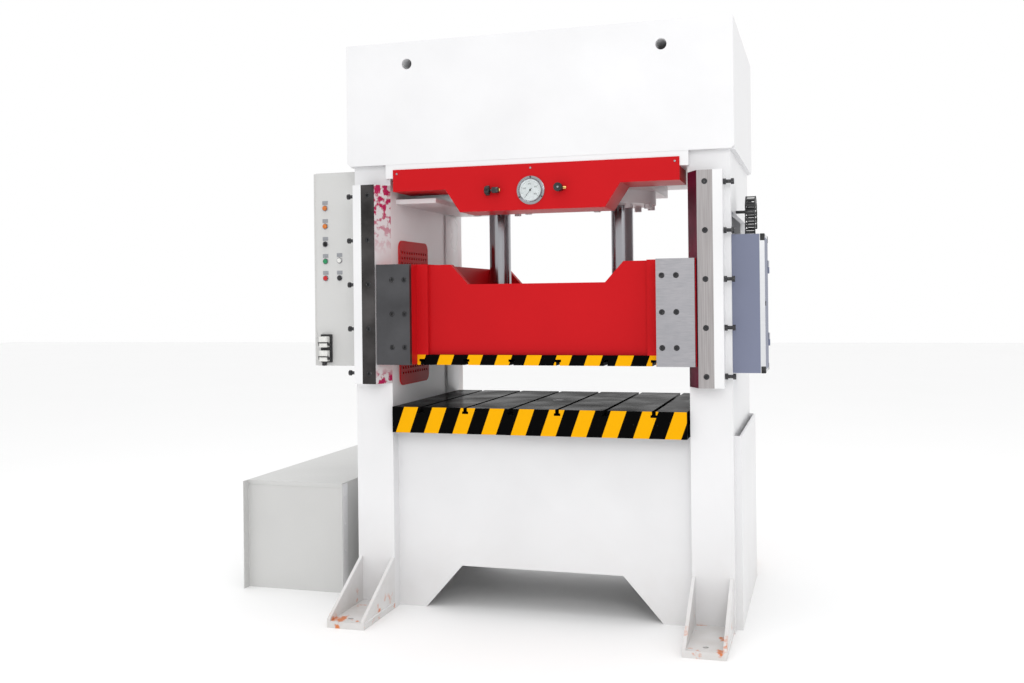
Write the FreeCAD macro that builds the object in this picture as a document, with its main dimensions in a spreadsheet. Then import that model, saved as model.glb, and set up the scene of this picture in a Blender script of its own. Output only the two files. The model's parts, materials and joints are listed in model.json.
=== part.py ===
"""Upright hydraulic press with a side control cabinet and a floor-standing power unit.

X runs left to right across the press, Y from front to back and Z upwards. The origin lies on
the floor, at the centre of the four foundation bolts. Lengths are millimetres.
"""
import FreeCAD, Part
import math
import os
import re

import Sketcher

SIZES = {
    # Welded frame
    "inside_width": 1424,        # clear width between the two columns
    "column_width": 187,
    "column_depth": 1031,
    "column_wall": 25,
    "crown_bottom": 2131,
    "crown_top": 2713,
    "crown_plate": 38,           # front and rear plates of the crown
    "crown_side": 21,
    "crown_deck": 25,
    "crown_recess": 13,          # deck below the crown's upper edge
    "crown_corner": 14,
    "lift_bore": 50,
    "lift_wall": 12,
    "lift_reach": 606,           # lifting holes from the centre plane
    "lift_drop": 106,            # lifting holes below the crown's upper edge
    "header_height": 66,
    "header_nose": 36,           # header ahead of the columns
    "header_lap": 9,
    "seat_width": 1000,          # plate that the cylinders are bolted to
    "seat_depth": 700,
    "seat_height": 59,
    "stop_height": 1952,         # underside of the upper side stops
    "stop_thick": 22,
    "stop_width": 207,
    "stop_setback": 68,
    # Bed
    "bed_height": 852,
    "bed_plate": 30,
    "bed_setback": 66,
    "bed_rear_setback": 101,
    "cutout_low": 1150,
    "cutout_high": 782,
    "cutout_height": 208,
    "bed_rib": 30,
    "bed_rib_reach": 250,
    "bed_rib_lift": 25,
    "skirt_reach": 29,           # side skirts outside the columns
    "skirt_sheet": 8,
    "skirt_height": 862,
    "skirt_setback": 66,         # behind the columns' front faces
    # Feet
    "foot_width": 181,
    "foot_length": 361,
    "foot_base": 30,
    "foot_nose": 40,
    "foot_height": 245,
    "foot_gusset": 15,
    "anchor_bore": 26,
    "anchor_setback": 300,
    # Table
    "table_width": 1402,
    "table_depth": 962,
    "table_thick": 122,
    "table_front": 32,           # table ahead of the columns
    "slot_pitch": 222,
    "slot_neck": 18,
    "slot_head": 30,
    "slot_lip": 16,              # neck of the slot, from the face down
    "slot_foot": 12,             # head of the slot
    "plug_bore": 68,
    "plug_height": 60,
    # Guides
    "rail_proud": 87,
    "rail_slant": 49,            # slanted guide face, measured across
    "rail_width": 68,
    "holder_width": 42,
    "guide_bottom": 1085,
    "guide_length": 950,
    "guide_margin": 50,
    "guide_gap": 0.35,
    # Slide, at rest
    "slide_bottom": 1174,
    "slide_width": 1160,
    "slide_proud": 5,            # side plates ahead of the columns
    "slide_side": 55,
    "slide_side_height": 479,
    "slide_face": 40,
    "slide_recess": 25,          # face plates behind the side plates' edges
    "slide_height": 476,
    "platen_thick": 48,
    "notch_height": 381,
    "notch_low": 660,
    "notch_high": 832,
    "bridge_height": 256,
    "bridge_thick": 60,
    "bridge_rib": 30,
    "shoe_lift": 4,
    "shoe_height": 475,
    "shoe_tail": 80,
    "shoe_side_gap": 12,
    "wear_proud": 98,
    "wear_thick": 25,
    "wear_edge_gap": 4,          # short of the shoe's corner
    "wear_inset": 26,
    "wear_pitch": 63,
    # Cylinders
    "cylinder_reach": 320,
    "rod_size": 110,
    "rod_fit": 0.16,
    "rod_foot": 220,
    "rod_foot_height": 60,
    "tube_size": 260,
    "tube_bore": 200,
    "tube_height": 634,
    "tube_cap": 50,
    "tube_gap": 1,
    "piston_fit": 0.2,
    "piston_height": 70,
    "piston_lift": 1016,         # underside of the pistons above the slide's underside
    "gland_size": 340,
    "gland_height": 63,
    "gland_bolt_circle": 300,
    # Cylinder cover and its instruments
    "cover_width": 1364,
    "cover_sheet": 4,
    "cover_depth": 230,
    "cover_top": 2105,
    "cover_ledge": 2001,
    "cover_bottom": 1893,
    "cover_waist": 834,
    "cover_foot": 690,
    "gauge_height": 1982,
    "gauge_flange": 132,
    "gauge_bezel": 112,
    "gauge_can": 100,
    "gauge_can_depth": 45,
    "gauge_hole_gap": 2,
    "gauge_rim": 14,
    "gauge_window": 100,
    "needle_reach": 40,
    "needle_boss": 8,
    "needle_thick": 1,
    "dial_thick": 1,
    "glass_thick": 2,
    # Valves on either side of the gauge
    "valve_height": 1986,
    "valve_block": 28,
    "valve_stem": 10,
    "shut_off_place": 158,       # centre of its block, left of the gauge
    "shut_off_width": 36,
    "shut_off_depth": 42,
    "shut_off_stem": 12,
    "shut_off_axis": 28,
    "throttle_place": 142,
    "throttle_width": 48,
    "throttle_offset": 10,       # block's centre beyond its stem
    "throttle_depth": 30,
    "throttle_stem": 10,
    "knob_gap": 0.3,
    "star_hub": 30,
    "star_lobe": 16,
    "star_reach": 17,
    "star_length": 24.7,
    "round_knob": 40,
    "round_knob_length": 21.7,
    "round_knob_proud": 62,
    # Left column's ventilation grille
    "grille_front": 87,
    "grille_width": 388,
    "grille_bottom": 1065,
    "grille_height": 712,
    "grille_sheet": 6,
    "grille_corner": 40,
    "vent_slot_width": 18,
    "vent_slot_height": 12,
    "vent_pitch_across": 32,
    "vent_pitch_up": 27,
    "vent_margin": 24,           # plate beyond the opening behind it
    # Control cabinet on the left column
    "cabinet_width": 291,
    "cabinet_depth": 380,
    "cabinet_front": 120,
    "cabinet_bottom": 1158,
    "cabinet_height": 969,
    "cabinet_sheet": 3,
    "door_fold": 18,
    "door_hinge_edge": 21,
    "door_free_edge": 6,
    "control_column": 71,        # first column of controls, from the cabinet's left side
    "control_pitch": 77,
    "control_bore": 22.6,
    "control_shank": 22,
    "control_depth": 12,
    "bezel_size": 30,
    "bezel_height": 4,
    "cap_size": 23,
    "cap_proud": 9,
    "cabinet_flange": 26,        # folded in around the door opening
    "lamp_proud": 16,
    "switch_collar": 6,
    "switch_proud": 20,
    "lever_width": 8,
    "lever_height": 28,
    "turn_gap": 0.3,
    # Connector on the cabinet door
    "connector_place": 75,       # centre, from the cabinet's left side
    "connector_bottom": 1175,
    "connector_width": 60,
    "connector_height": 141,
    "connector_base": 14,
    "hood_inset": 8,
    "hood_height": 56,
    "hood_depth": 38,
    "hood_pitch": 70,
    "hood_lift": 7,
    "lock_width": 6,
    "lock_inset": 2,
    "lock_height": 40,
    "lock_depth": 30,
    "lock_lift": 8,
    "cable_gland": 26,
    "cable_gland_length": 22,
    "cable_gland_drop": 15,
    "cable_gland_setback": 32,
    # Hinges of the cabinet door and the terminal box lid
    "hinge_barrel": 7,
    "hinge_length": 60,
    "hinge_gap": 0.5,
    "hinge_leaf": 3,
    "hinge_inset": 110,
    # Terminal box on the right column
    "box_reach": 120,
    "box_front": 20,
    "box_depth": 270,
    "box_bottom": 1146,
    "box_height": 611,
    "box_sheet": 3,
    "rim_depth": 21,
    "rim_width": 14,
    "lid_thick": 14,
    "lid_gap": 0.5,
    # Cable chain and the opening it serves
    "chain_width": 45,
    "chain_thick": 30,
    "chain_reach": 73,
    "chain_setback": 130,
    "chain_bend": 70,
    "chain_rise": 98,
    "chain_drop": 60,
    "chain_bracket": 12,
    "port_front": 40,
    "port_depth": 820,
    "port_bottom": 1180,
    "port_top": 1862,
    # Power unit
    "unit_width": 539,
    "unit_offset": 1071,
    "unit_front": 180,
    "unit_depth": 1420,
    "unit_height": 556,
    "unit_sheet": 3,
    "unit_lip": 48,
    "unit_base": 12,
    "tank_depth": 620,
    "tank_height": 400,
    "tank_wall": 5,
    "motor_size": 220,
    "motor_length": 380,
    "motor_axis": 190,
    "pump_size": 130,
    "pump_length": 160,
    "manifold_side": 150,
    "pipe_size": 34,
    "pipe_setback": 860,
    "pipe_height": 300,
    "pipe_pitch": 90,
    # Screws
    "cap_screw": 16,
    "cap_head": 24,
    "cap_head_height": 16,
    "cap_sink": 26,              # counterbore
    "cap_sink_depth": 18,
    "screw_gap": 1,              # clearance hole larger than the screw
    "hex_across": 26,            # across the corners of the jack screws' hexagons
    "hex_height": 13,
    "jack_proud": 47,
    "gland_bolt": 20,
    "gland_hex": 36,
    "gland_hex_height": 22,
}

GUIDE_SCREWS = 5
STAR_LOBES = 5
CONNECTOR_HOODS = 2
NEEDLE_ANGLE = math.radians(232)       # at rest, on the lower left
SLOTS_PER_SIDE = 3
WEAR_SCREW_HEIGHTS = (83, 240, 401)    # above the wear plate's lower edge
GLAND_BOLTS = 8
VENT_COLUMNS = 11
VENT_ROWS = 23

doc = FreeCAD.newDocument("HydraulicPress")
sheet = doc.addObject("Spreadsheet::Sheet", "Sizes")
for row, (alias, number) in enumerate(SIZES.items(), start=1):
    sheet.set(f"A{row}", alias)
    sheet.set(f"B{row}", str(number))
    sheet.setAlias(f"B{row}", alias)
doc.recompute()

WORD = re.compile(r"[a-z][a-z_]*")
nodes = {}


# Expressions and construction helpers

def linked(expression):
    """The expression with each size's name turned into a reference to its cell."""
    return WORD.sub(lambda word: "Sizes." + word[0] if word[0] in SIZES else word[0], str(expression))


def span(start, length):
    return start, f"({start}) + ({length})"


def mirrored(low_high):
    low, high = low_high
    return f"-({high})", f"-({low})"


def place(thing, x, y, z):
    for axis, distance in zip("xyz", (x, y, z)):
        thing.setExpression(f"Placement.Base.{axis}", linked(distance))


def block(name, x, y, z):
    """Rectangular block; x, y and z are each a low and a high expression."""
    box = doc.addObject("Part::Box", name)
    for side, (low, high) in zip(("Length", "Width", "Height"), (x, y, z)):
        box.setExpression(side, linked(f"({high}) - ({low})"))
    place(box, x[0], y[0], z[0])
    return box


AXIS_TURNS = {
    "x": FreeCAD.Rotation(FreeCAD.Vector(0, 1, 0), 90),
    "y": FreeCAD.Rotation(FreeCAD.Vector(1, 0, 0), -90),
    "z": FreeCAD.Rotation(),
}


def round_bar(name, size, axis, x, y, z, length):
    """Cylinder of a given diameter that runs from x, y, z along the positive axis."""
    bar = doc.addObject("Part::Cylinder", name)
    bar.Placement = FreeCAD.Placement(FreeCAD.Vector(), AXIS_TURNS[axis])
    bar.setExpression("Radius", linked(f"({size}) / 2"))
    bar.setExpression("Height", linked(length))
    place(bar, x, y, z)
    return bar


def hexagon(name, across, axis, x, y, z, length):
    """Hexagonal prism, sized across its corners, that runs along the positive axis."""
    prism = doc.addObject("Part::Prism", name)
    prism.Polygon = 6
    prism.Placement = FreeCAD.Placement(FreeCAD.Vector(), AXIS_TURNS[axis])
    prism.setExpression("Circumradius", linked(f"({across}) / 2"))
    prism.setExpression("Height", linked(length))
    place(prism, x, y, z)
    return prism


def fuse(name, *pieces):
    union = doc.addObject("Part::MultiFuse", name)
    union.Shapes = list(pieces)
    return union


def cut(name, base, *tools):
    result = doc.addObject("Part::Cut", name)
    result.Base = base
    result.Tool = tools[0] if len(tools) == 1 else group(name + "_tools", *tools)
    return result


def group(name, *pieces):
    compound = doc.addObject("Part::Compound", name)
    compound.Links = list(pieces)
    return compound


def mirror(name, source, normal):
    """Copy of a piece on the other side of the plane through the origin with this normal."""
    copy = doc.addObject("Part::Mirroring", name)
    copy.Source = source
    copy.Normal = normal
    return copy


ACROSS = FreeCAD.Vector(1, 0, 0)
ALONG = FreeCAD.Vector(0, 1, 0)


def both_sides(name, source):
    """A piece and its mirror image on the other side of the centre plane."""
    return group(name, source, mirror(name + "_left", source, ACROSS))


def front_and_rear(name, source):
    return group(name, source, mirror(name + "_rear", source, ALONG))


def four_corners(name, source):
    """The front right piece and its images at the other three corners."""
    return front_and_rear(name, both_sides(name + "_pair", source))


PLANE_ROLES = {"z": "XY_Plane", "y": "XZ_Plane", "x": "YZ_Plane"}


def constrained_point(sketch, index, vertex, label, point):
    for kind, letter, distance in zip(("DistanceX", "DistanceY"), "ab", point):
        where = sketch.addConstraint(Sketcher.Constraint(kind, -1, 1, index, vertex, 1.0))
        sketch.renameConstraint(where, f"{label}_{letter}")
        sketch.setExpression(f"Constraints.{label}_{letter}", linked(distance))


def draw_outline(sketch, label, points):
    """Closed polygon whose corners are pairs of expressions."""
    count = len(points)
    first = sketch.GeometryCount
    turns = [2 * math.pi * i / count for i in range(count)]
    ring = [FreeCAD.Vector(100 * math.cos(turn), 100 * math.sin(turn), 0) for turn in turns]
    for i in range(count):
        sketch.addGeometry(Part.LineSegment(ring[i], ring[(i + 1) % count]), False)
    for i in range(count):
        following = first + (i + 1) % count
        sketch.addConstraint(Sketcher.Constraint("Coincident", first + i, 2, following, 1))
    for i, point in enumerate(points):
        constrained_point(sketch, first + i, 1, f"{label}{i}", point)


def draw_circle(sketch, label, size, point):
    index = sketch.addGeometry(Part.Circle(FreeCAD.Vector(), FreeCAD.Vector(0, 0, 1), 10), False)
    constrained_point(sketch, index, 3, label, point)
    where = sketch.addConstraint(Sketcher.Constraint("Diameter", index, 20.0))
    sketch.renameConstraint(where, label + "_size")
    sketch.setExpression(f"Constraints.{label}_size", linked(size))


def plate(name, normal, outline, low_high, holes=(), openings=()):
    """Padded plate square to one axis, with round holes and polygonal openings.

    The outline is given in X and Y, X and Z or Y and Z, whichever two lie in the plate.
    """
    low, high = low_high
    body = doc.addObject("PartDesign::Body", name)
    origin_plane = next(feature for feature in body.Origin.OriginFeatures
                        if feature.Role == PLANE_ROLES[normal])
    sketch = body.newObject("Sketcher::SketchObject", name + "_sketch")
    sketch.AttachmentSupport = [(origin_plane, "")]
    sketch.MapMode = "FlatFace"
    start = f"-({high})" if normal == "y" else low
    sketch.setExpression("AttachmentOffset.Base.z", linked(start))
    draw_outline(sketch, "corner", outline)
    for number, points in enumerate(openings):
        draw_outline(sketch, f"opening{number}_", points)
    for number, (size, point) in enumerate(holes):
        draw_circle(sketch, f"hole{number}", size, point)
    pad = body.newObject("PartDesign::Pad", name + "_pad")
    pad.Profile = sketch
    pad.setExpression("Length", linked(f"({high}) - ({low})"))
    return body


def rectangle(across, up):
    return [(across[0], up[0]), (across[1], up[0]), (across[1], up[1]), (across[0], up[1])]


def keep(name, piece):
    """Name a finished piece; its label is also the name of its file."""
    piece.Label = name
    nodes[name] = piece
    return piece


# Datums that several pieces share

FRONT = "-column_depth / 2"
REAR = "column_depth / 2"
INNER = "inside_width / 2"
OUTER = "(inside_width / 2 + column_width)"
DECK_TOP = "crown_top - crown_recess"
DECK_BOTTOM = f"{DECK_TOP} - crown_deck"
HEADER_BOTTOM = "crown_bottom - header_height"
SEAT_BOTTOM = f"{HEADER_BOTTOM} - seat_height"
GLAND_BOTTOM = f"{SEAT_BOTTOM} - gland_height"
TABLE_FRONT = f"{FRONT} - table_front"
TABLE_TOP = "bed_height + table_thick"
TABLE_MIDDLE = f"{TABLE_FRONT} + table_depth / 2"
ACROSS_COLUMNS = (f"-{INNER}", INNER)
FRAME_DEPTH = (FRONT, REAR)


# Crown

def build_crown():
    half = f"{OUTER} + crown_side"
    lift = "crown_top - lift_drop"
    outline = [(f"-({half}) + crown_corner", "crown_bottom"), (f"{half} - crown_corner", "crown_bottom"),
               (half, "crown_bottom + crown_corner"), (half, "crown_top"),
               (f"-({half})", "crown_top"), (f"-({half})", "crown_bottom + crown_corner")]
    front = plate("crown_front", "y", outline, (f"{FRONT} - crown_plate", FRONT),
                  holes=[("lift_bore", ("lift_reach", lift)), ("lift_bore", ("-lift_reach", lift))])
    keep("crown_face_plates", front_and_rear("crown_face_pair", front))
    side = block("crown_side_right", (OUTER, half), FRAME_DEPTH, ("crown_bottom", "crown_top"))
    keep("crown_side_plates", both_sides("crown_side_pair", side))
    keep("crown_top_plate", block("crown_deck_plate", (f"-{OUTER}", OUTER), FRAME_DEPTH,
                                  (DECK_BOTTOM, DECK_TOP)))
    tube = cut("lifting_tube",
               round_bar("lifting_tube_outside", "lift_bore + 2 * lift_wall", "y", "lift_reach", FRONT,
                         lift, "column_depth"),
               round_bar("lifting_tube_inside", "lift_bore", "y", "lift_reach", FRONT, lift, "column_depth"))
    keep("lifting_tubes", both_sides("lifting_tube_pair", tube))


def cylinder_holes():
    size = "tube_size + tube_gap"
    return [(size, ("cylinder_reach", "0")), (size, ("-cylinder_reach", "0"))]


def build_header():
    nose = f"{FRONT} - header_nose"
    lap = f"{INNER} + header_lap"
    outline = [(f"-({lap})", nose), (lap, nose), (lap, FRONT), (INNER, FRONT), (INNER, REAR),
               (f"-{INNER}", REAR), (f"-{INNER}", FRONT), (f"-({lap})", FRONT)]
    keep("crown_bottom_plate", plate("header", "z", outline, (HEADER_BOTTOM, "crown_bottom"),
                                     holes=cylinder_holes()))
    seat = rectangle(("-seat_width / 2", "seat_width / 2"), ("-seat_depth / 2", "seat_depth / 2"))
    keep("cylinder_mounting_plate", plate("cylinder_seat", "z", seat, (SEAT_BOTTOM, HEADER_BOTTOM),
                                          holes=cylinder_holes()))
    keep("upper_side_ledge", block("upper_stop", mirrored((f"{INNER} - stop_width", INNER)),
                                   (f"{FRONT} + stop_setback", f"{REAR} - stop_setback"),
                                   span("stop_height", "stop_thick")))


# Columns

def column(name, side):
    """Hollow box column; side is +1 on the right and -1 on the left."""
    x = (INNER, OUTER) if side > 0 else (f"-{OUTER}", f"-{INNER}")
    core_x = (f"{x[0]} + column_wall", f"{x[1]} - column_wall")
    outside = block(name + "_outside", x, FRAME_DEPTH, ("0", DECK_BOTTOM))
    core = block(name + "_core", core_x, (f"{FRONT} + column_wall", f"{REAR} - column_wall"),
                 ("column_wall", f"{DECK_BOTTOM} - column_wall"))
    return outside, core


def build_columns():
    outside, core = column("column_right", 1)
    port_start = f"{FRONT} + port_front"
    port = block("cable_port", (f"{OUTER} - column_wall", OUTER), span(port_start, "port_depth"),
                 ("port_bottom", "port_top"))
    keep("right_column", cut("column_right_weldment", outside, core, port))
    outside, core = column("column_left", -1)
    vent = block("vent_port", (f"-{INNER} - column_wall", f"-{INNER}"),
                 span(f"{FRONT} + grille_front + vent_margin", "grille_width - 2 * vent_margin"),
                 span("grille_bottom + vent_margin", "grille_height - 2 * vent_margin"))
    keep("left_column", cut("column_left_weldment", outside, core, vent))


# Bed, feet and table

def build_bed():
    arch = [("cutout_high / 2", "cutout_height"), ("cutout_low / 2", "0")]
    outline = [(f"-{INNER}", "0"), ("-cutout_low / 2", "0"), ("-cutout_high / 2", "cutout_height"),
               *arch, (INNER, "0"), (INNER, "bed_height"), (f"-{INNER}", "bed_height")]
    front_y = span(f"{FRONT} + bed_setback", "bed_plate")
    rear_y = (f"{REAR} - bed_rear_setback - bed_plate", f"{REAR} - bed_rear_setback")
    keep("bed_face_plates", group("bed_face_pair", plate("bed_front", "y", outline, front_y),
                                  plate("bed_rear", "y", outline, rear_y)))
    rib = block("bed_rib_right", span("bed_rib_reach", "bed_rib"), (front_y[1], rear_y[0]),
                ("cutout_height + bed_rib_lift", "bed_height"))
    keep("bed_ribs", both_sides("bed_rib_pair", rib))
    skirt_x = (OUTER, f"{OUTER} + skirt_reach")
    skirt_y = (f"{FRONT} + skirt_setback", REAR)
    skirt = cut("skirt_right", block("skirt_outside", skirt_x, skirt_y, ("0", "skirt_height")),
                block("skirt_hollow", (OUTER, f"{OUTER} + skirt_reach - skirt_sheet"),
                      (f"{skirt_y[0]} + skirt_sheet", f"{REAR} - skirt_sheet"), ("0", "skirt_height")))
    keep("bed_side_covers", both_sides("skirt_pair", skirt))


def build_feet():
    """Anchor feet ahead of and behind each column: a base and two gussets, welded."""
    x = span(INNER, "foot_width")
    nose = f"{FRONT} - foot_length"
    anchor = (f"{INNER} + foot_width / 2", f"{FRONT} - anchor_setback")
    base = plate("foot_base_plate", "z", rectangle(x, (nose, FRONT)), ("0", "foot_base"),
                 holes=[("anchor_bore", anchor)])
    gusset = [(nose, "foot_base"), (FRONT, "foot_base"), (FRONT, "foot_height"), (nose, "foot_nose")]
    inner = plate("foot_inner_gusset", "x", gusset, span(x[0], "foot_gusset"))
    outer = plate("foot_outer_gusset", "x", gusset, (f"{x[1]} - foot_gusset", x[1]))
    foot = fuse("foot_weldment", base, inner, outer)
    keep("foot_brackets", four_corners("feet", foot))


def slotted_edge(face, inward):
    """Corners of the T-slots along one face, from left to right; inward is +1 for up, -1 for down."""
    corners = []
    for number in range(-SLOTS_PER_SIDE, SLOTS_PER_SIDE):
        centre = f"{number + 0.5} * slot_pitch"
        lip = f"{face} + {inward} * slot_lip"
        foot = f"{face} + {inward} * (slot_lip + slot_foot)"
        corners += [(f"{centre} - slot_neck / 2", face), (f"{centre} - slot_neck / 2", lip),
                    (f"{centre} - slot_head / 2", lip), (f"{centre} - slot_head / 2", foot),
                    (f"{centre} + slot_head / 2", foot), (f"{centre} + slot_head / 2", lip),
                    (f"{centre} + slot_neck / 2", lip), (f"{centre} + slot_neck / 2", face)]
    return corners


def build_table():
    outline = [("-table_width / 2", "bed_height"), ("-table_width / 2", TABLE_TOP),
               *slotted_edge(TABLE_TOP, -1),
               ("table_width / 2", TABLE_TOP), ("table_width / 2", "bed_height")]
    slab = plate("table_slab", "y", outline, span(TABLE_FRONT, "table_depth"))
    plug_bottom = f"{TABLE_TOP} - plug_height"
    bore = round_bar("plug_bore_cut", "plug_bore", "z", "0", TABLE_MIDDLE, plug_bottom, "plug_height")
    keep("table_plate", cut("table_bored", slab, bore))
    keep("table_plug", round_bar("plug", "plug_bore - screw_gap", "z", "0", TABLE_MIDDLE, plug_bottom,
                                 "plug_height - screw_gap"))


# Guides on the columns

RAIL_TOE = f"{INNER} + rail_slant"
RAIL_BACK = f"{RAIL_TOE} + rail_width"
HOLDER_BACK = f"{RAIL_BACK} + holder_width"
RAIL_FRONT = f"{FRONT} - rail_proud"
GUIDE_HEIGHT = ("guide_bottom", "guide_bottom + guide_length")


def guide_heights():
    step = f"(guide_length - 2 * guide_margin) / {GUIDE_SCREWS - 1}"
    return [f"guide_bottom + guide_margin + {number} * {step}" for number in range(GUIDE_SCREWS)]


def build_guides():
    """Slanted rails clamped to the columns and the welded holders that back them up."""
    outline = [(RAIL_TOE, RAIL_FRONT), (RAIL_BACK, RAIL_FRONT), (RAIL_BACK, FRONT), (INNER, FRONT)]
    screw_x = f"{RAIL_TOE} + rail_width / 2"
    jack_y = f"{FRONT} - rail_proud / 2"
    rail_holes, holder_holes, cap_screws, jacks = [], [], [], []
    for number, height in enumerate(guide_heights()):
        rail_holes += [
            round_bar(f"rail_sink{number}", "cap_sink", "y", screw_x, RAIL_FRONT, height, "cap_sink_depth"),
            round_bar(f"rail_hole{number}", "cap_screw + screw_gap", "y", screw_x, RAIL_FRONT, height,
                      "rail_proud")]
        holder_holes.append(round_bar(f"holder_hole{number}", "cap_screw + screw_gap", "x", RAIL_BACK,
                                      jack_y, height, "holder_width"))
        cap_screws.append(socket_screw(f"rail_screw{number}", screw_x, f"{RAIL_FRONT} + cap_sink_depth",
                                       height, "rail_proud - cap_sink_depth"))
        jacks += jack_screw(number, jack_y, height)
    rail = cut("rail_bored", plate("rail", "z", outline, GUIDE_HEIGHT), *rail_holes)
    holder = cut("holder_bored", block("holder", (RAIL_BACK, HOLDER_BACK), (RAIL_FRONT, FRONT),
                                       GUIDE_HEIGHT), *holder_holes)
    keep("guide_rails", four_corners("rails", rail))
    keep("gib_holders", four_corners("holders", holder))
    keep("rail_screws", four_corners("rail_screw_set", group("rail_screw_row", *cap_screws)))
    keep("jack_screws", four_corners("jack_screw_set", group("jack_screw_row", *jacks)))


def socket_screw(name, x, seat_y, z, reach):
    """Socket-head cap screw with its head ahead of the seat and its shank behind it."""
    head_front = f"{seat_y} - cap_head_height"
    drum = round_bar(name + "_drum", "cap_head", "y", x, head_front, z, "cap_head_height")
    head = cut(name + "_head", drum,
               hexagon(name + "_socket", "cap_screw", "y", x, head_front, z, "cap_head_height / 2"))
    return fuse(name, head, round_bar(name + "_shank", "cap_screw", "y", x, seat_y, z, reach))


def jack_screw(number, y, z):
    """Adjusting screw through the holder, against the rail's back, and its lock nut."""
    tip = f"{HOLDER_BACK} + jack_proud"
    shank = round_bar(f"jack_shank{number}", "cap_screw", "x", RAIL_BACK, y, z, "holder_width + jack_proud")
    head = hexagon(f"jack_head{number}", "hex_across", "x", f"{tip} - hex_height", y, z, "hex_height")
    nut = cut(f"jack_nut{number}",
              hexagon(f"jack_nut_hexagon{number}", "hex_across", "x", HOLDER_BACK, y, z, "hex_height"),
              round_bar(f"jack_nut_bore{number}", "cap_screw + screw_gap", "x", HOLDER_BACK, y, z,
                        "hex_height"))
    return [fuse(f"jack{number}", shank, head), nut]


# Slide

SLIDE_EDGE = "slide_width / 2"
SLIDE_FRONT = f"{FRONT} - slide_proud"
FACE_FRONT = f"{SLIDE_FRONT} + slide_recess"
FACE_BACK = f"{FACE_FRONT} + slide_face"
PLATEN_TOP = "slide_bottom + platen_thick"
BRIDGE_TOP = "slide_bottom + bridge_height + bridge_thick"
SHOE_HEIGHT = ("slide_bottom + shoe_lift", "slide_bottom + shoe_lift + shoe_height")
SHOE_FRONT = f"{FRONT} - wear_proud + wear_thick"


def build_slide():
    inside = f"{SLIDE_EDGE} - slide_side"
    top = "slide_bottom + slide_height"
    notch = "slide_bottom + notch_height"
    outline = [(f"-({inside})", PLATEN_TOP), (inside, PLATEN_TOP), (inside, top), ("notch_high / 2", top),
               ("notch_low / 2", notch), ("-notch_low / 2", notch), ("-notch_high / 2", top),
               (f"-({inside})", top)]
    face = plate("slide_front", "y", outline, (FACE_FRONT, FACE_BACK))
    keep("slide_face_plates", front_and_rear("slide_face_pair", face))
    side = block("slide_side_right", (inside, SLIDE_EDGE), (SLIDE_FRONT, f"-({SLIDE_FRONT})"),
                 (PLATEN_TOP, "slide_bottom + slide_side_height"))
    keep("slide_side_plates", both_sides("slide_side_pair", side))
    platen = [(f"-{SLIDE_EDGE}", PLATEN_TOP), (f"-{SLIDE_EDGE}", "slide_bottom"),
              *slotted_edge("slide_bottom", 1),
              (SLIDE_EDGE, "slide_bottom"), (SLIDE_EDGE, PLATEN_TOP)]
    keep("slide_platen", plate("platen", "y", platen, (SLIDE_FRONT, f"-({SLIDE_FRONT})")))
    bridge_bottom = "slide_bottom + bridge_height"
    bridge = block("slide_bridge", (f"-({inside})", inside), (FACE_BACK, f"-({FACE_BACK})"),
                   (bridge_bottom, BRIDGE_TOP))
    rib = block("slide_rib_right", span("cylinder_reach - bridge_rib / 2", "bridge_rib"),
                (FACE_BACK, f"-({FACE_BACK})"), (PLATEN_TOP, bridge_bottom))
    keep("slide_inner_frame", fuse("slide_inner_weldment", bridge, rib,
                                   mirror("slide_rib_left", rib, ACROSS)))


def build_shoes():
    """Guide shoes at the slide's four corners and the wear plates on their faces."""
    slope = "rail_slant / rail_proud"
    toe = f"{RAIL_TOE} - (rail_proud - wear_proud + wear_thick) * {slope} - guide_gap"
    outline = [(SLIDE_EDGE, SHOE_FRONT), (toe, SHOE_FRONT), (f"{INNER} - guide_gap", FRONT),
               (f"{INNER} - shoe_side_gap", FRONT), (f"{INNER} - shoe_side_gap", f"{FRONT} + shoe_tail"),
               (SLIDE_EDGE, f"{FRONT} + shoe_tail")]
    keep("slide_shoes", four_corners("shoes", plate("shoe", "z", outline, SHOE_HEIGHT)))
    wear_front = f"{FRONT} - wear_proud"
    seat = f"{wear_front} + cap_sink_depth"
    holes, screws = [], []
    for across in range(2):
        x = f"{SLIDE_EDGE} + wear_inset + {across} * wear_pitch"
        for up, height in enumerate(WEAR_SCREW_HEIGHTS):
            z = f"{SHOE_HEIGHT[0]} + {height}"
            mark = f"{across}{up}"
            holes += [round_bar("wear_sink" + mark, "cap_sink", "y", x, wear_front, z, "cap_sink_depth"),
                      round_bar("wear_hole" + mark, "cap_screw + screw_gap", "y", x, wear_front, z,
                                "wear_thick")]
            screws.append(socket_screw("wear_screw" + mark, x, seat, z, "wear_thick - cap_sink_depth"))
    wear = cut("wear_bored", block("wear", (SLIDE_EDGE, f"{toe} - wear_edge_gap"),
                                   span(wear_front, "wear_thick"), SHOE_HEIGHT), *holes)
    keep("wear_plates", four_corners("wear_plate_set", wear))
    keep("wear_plate_screws", four_corners("wear_screw_set", group("wear_screw_group", *screws)))


# Cylinders

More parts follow.
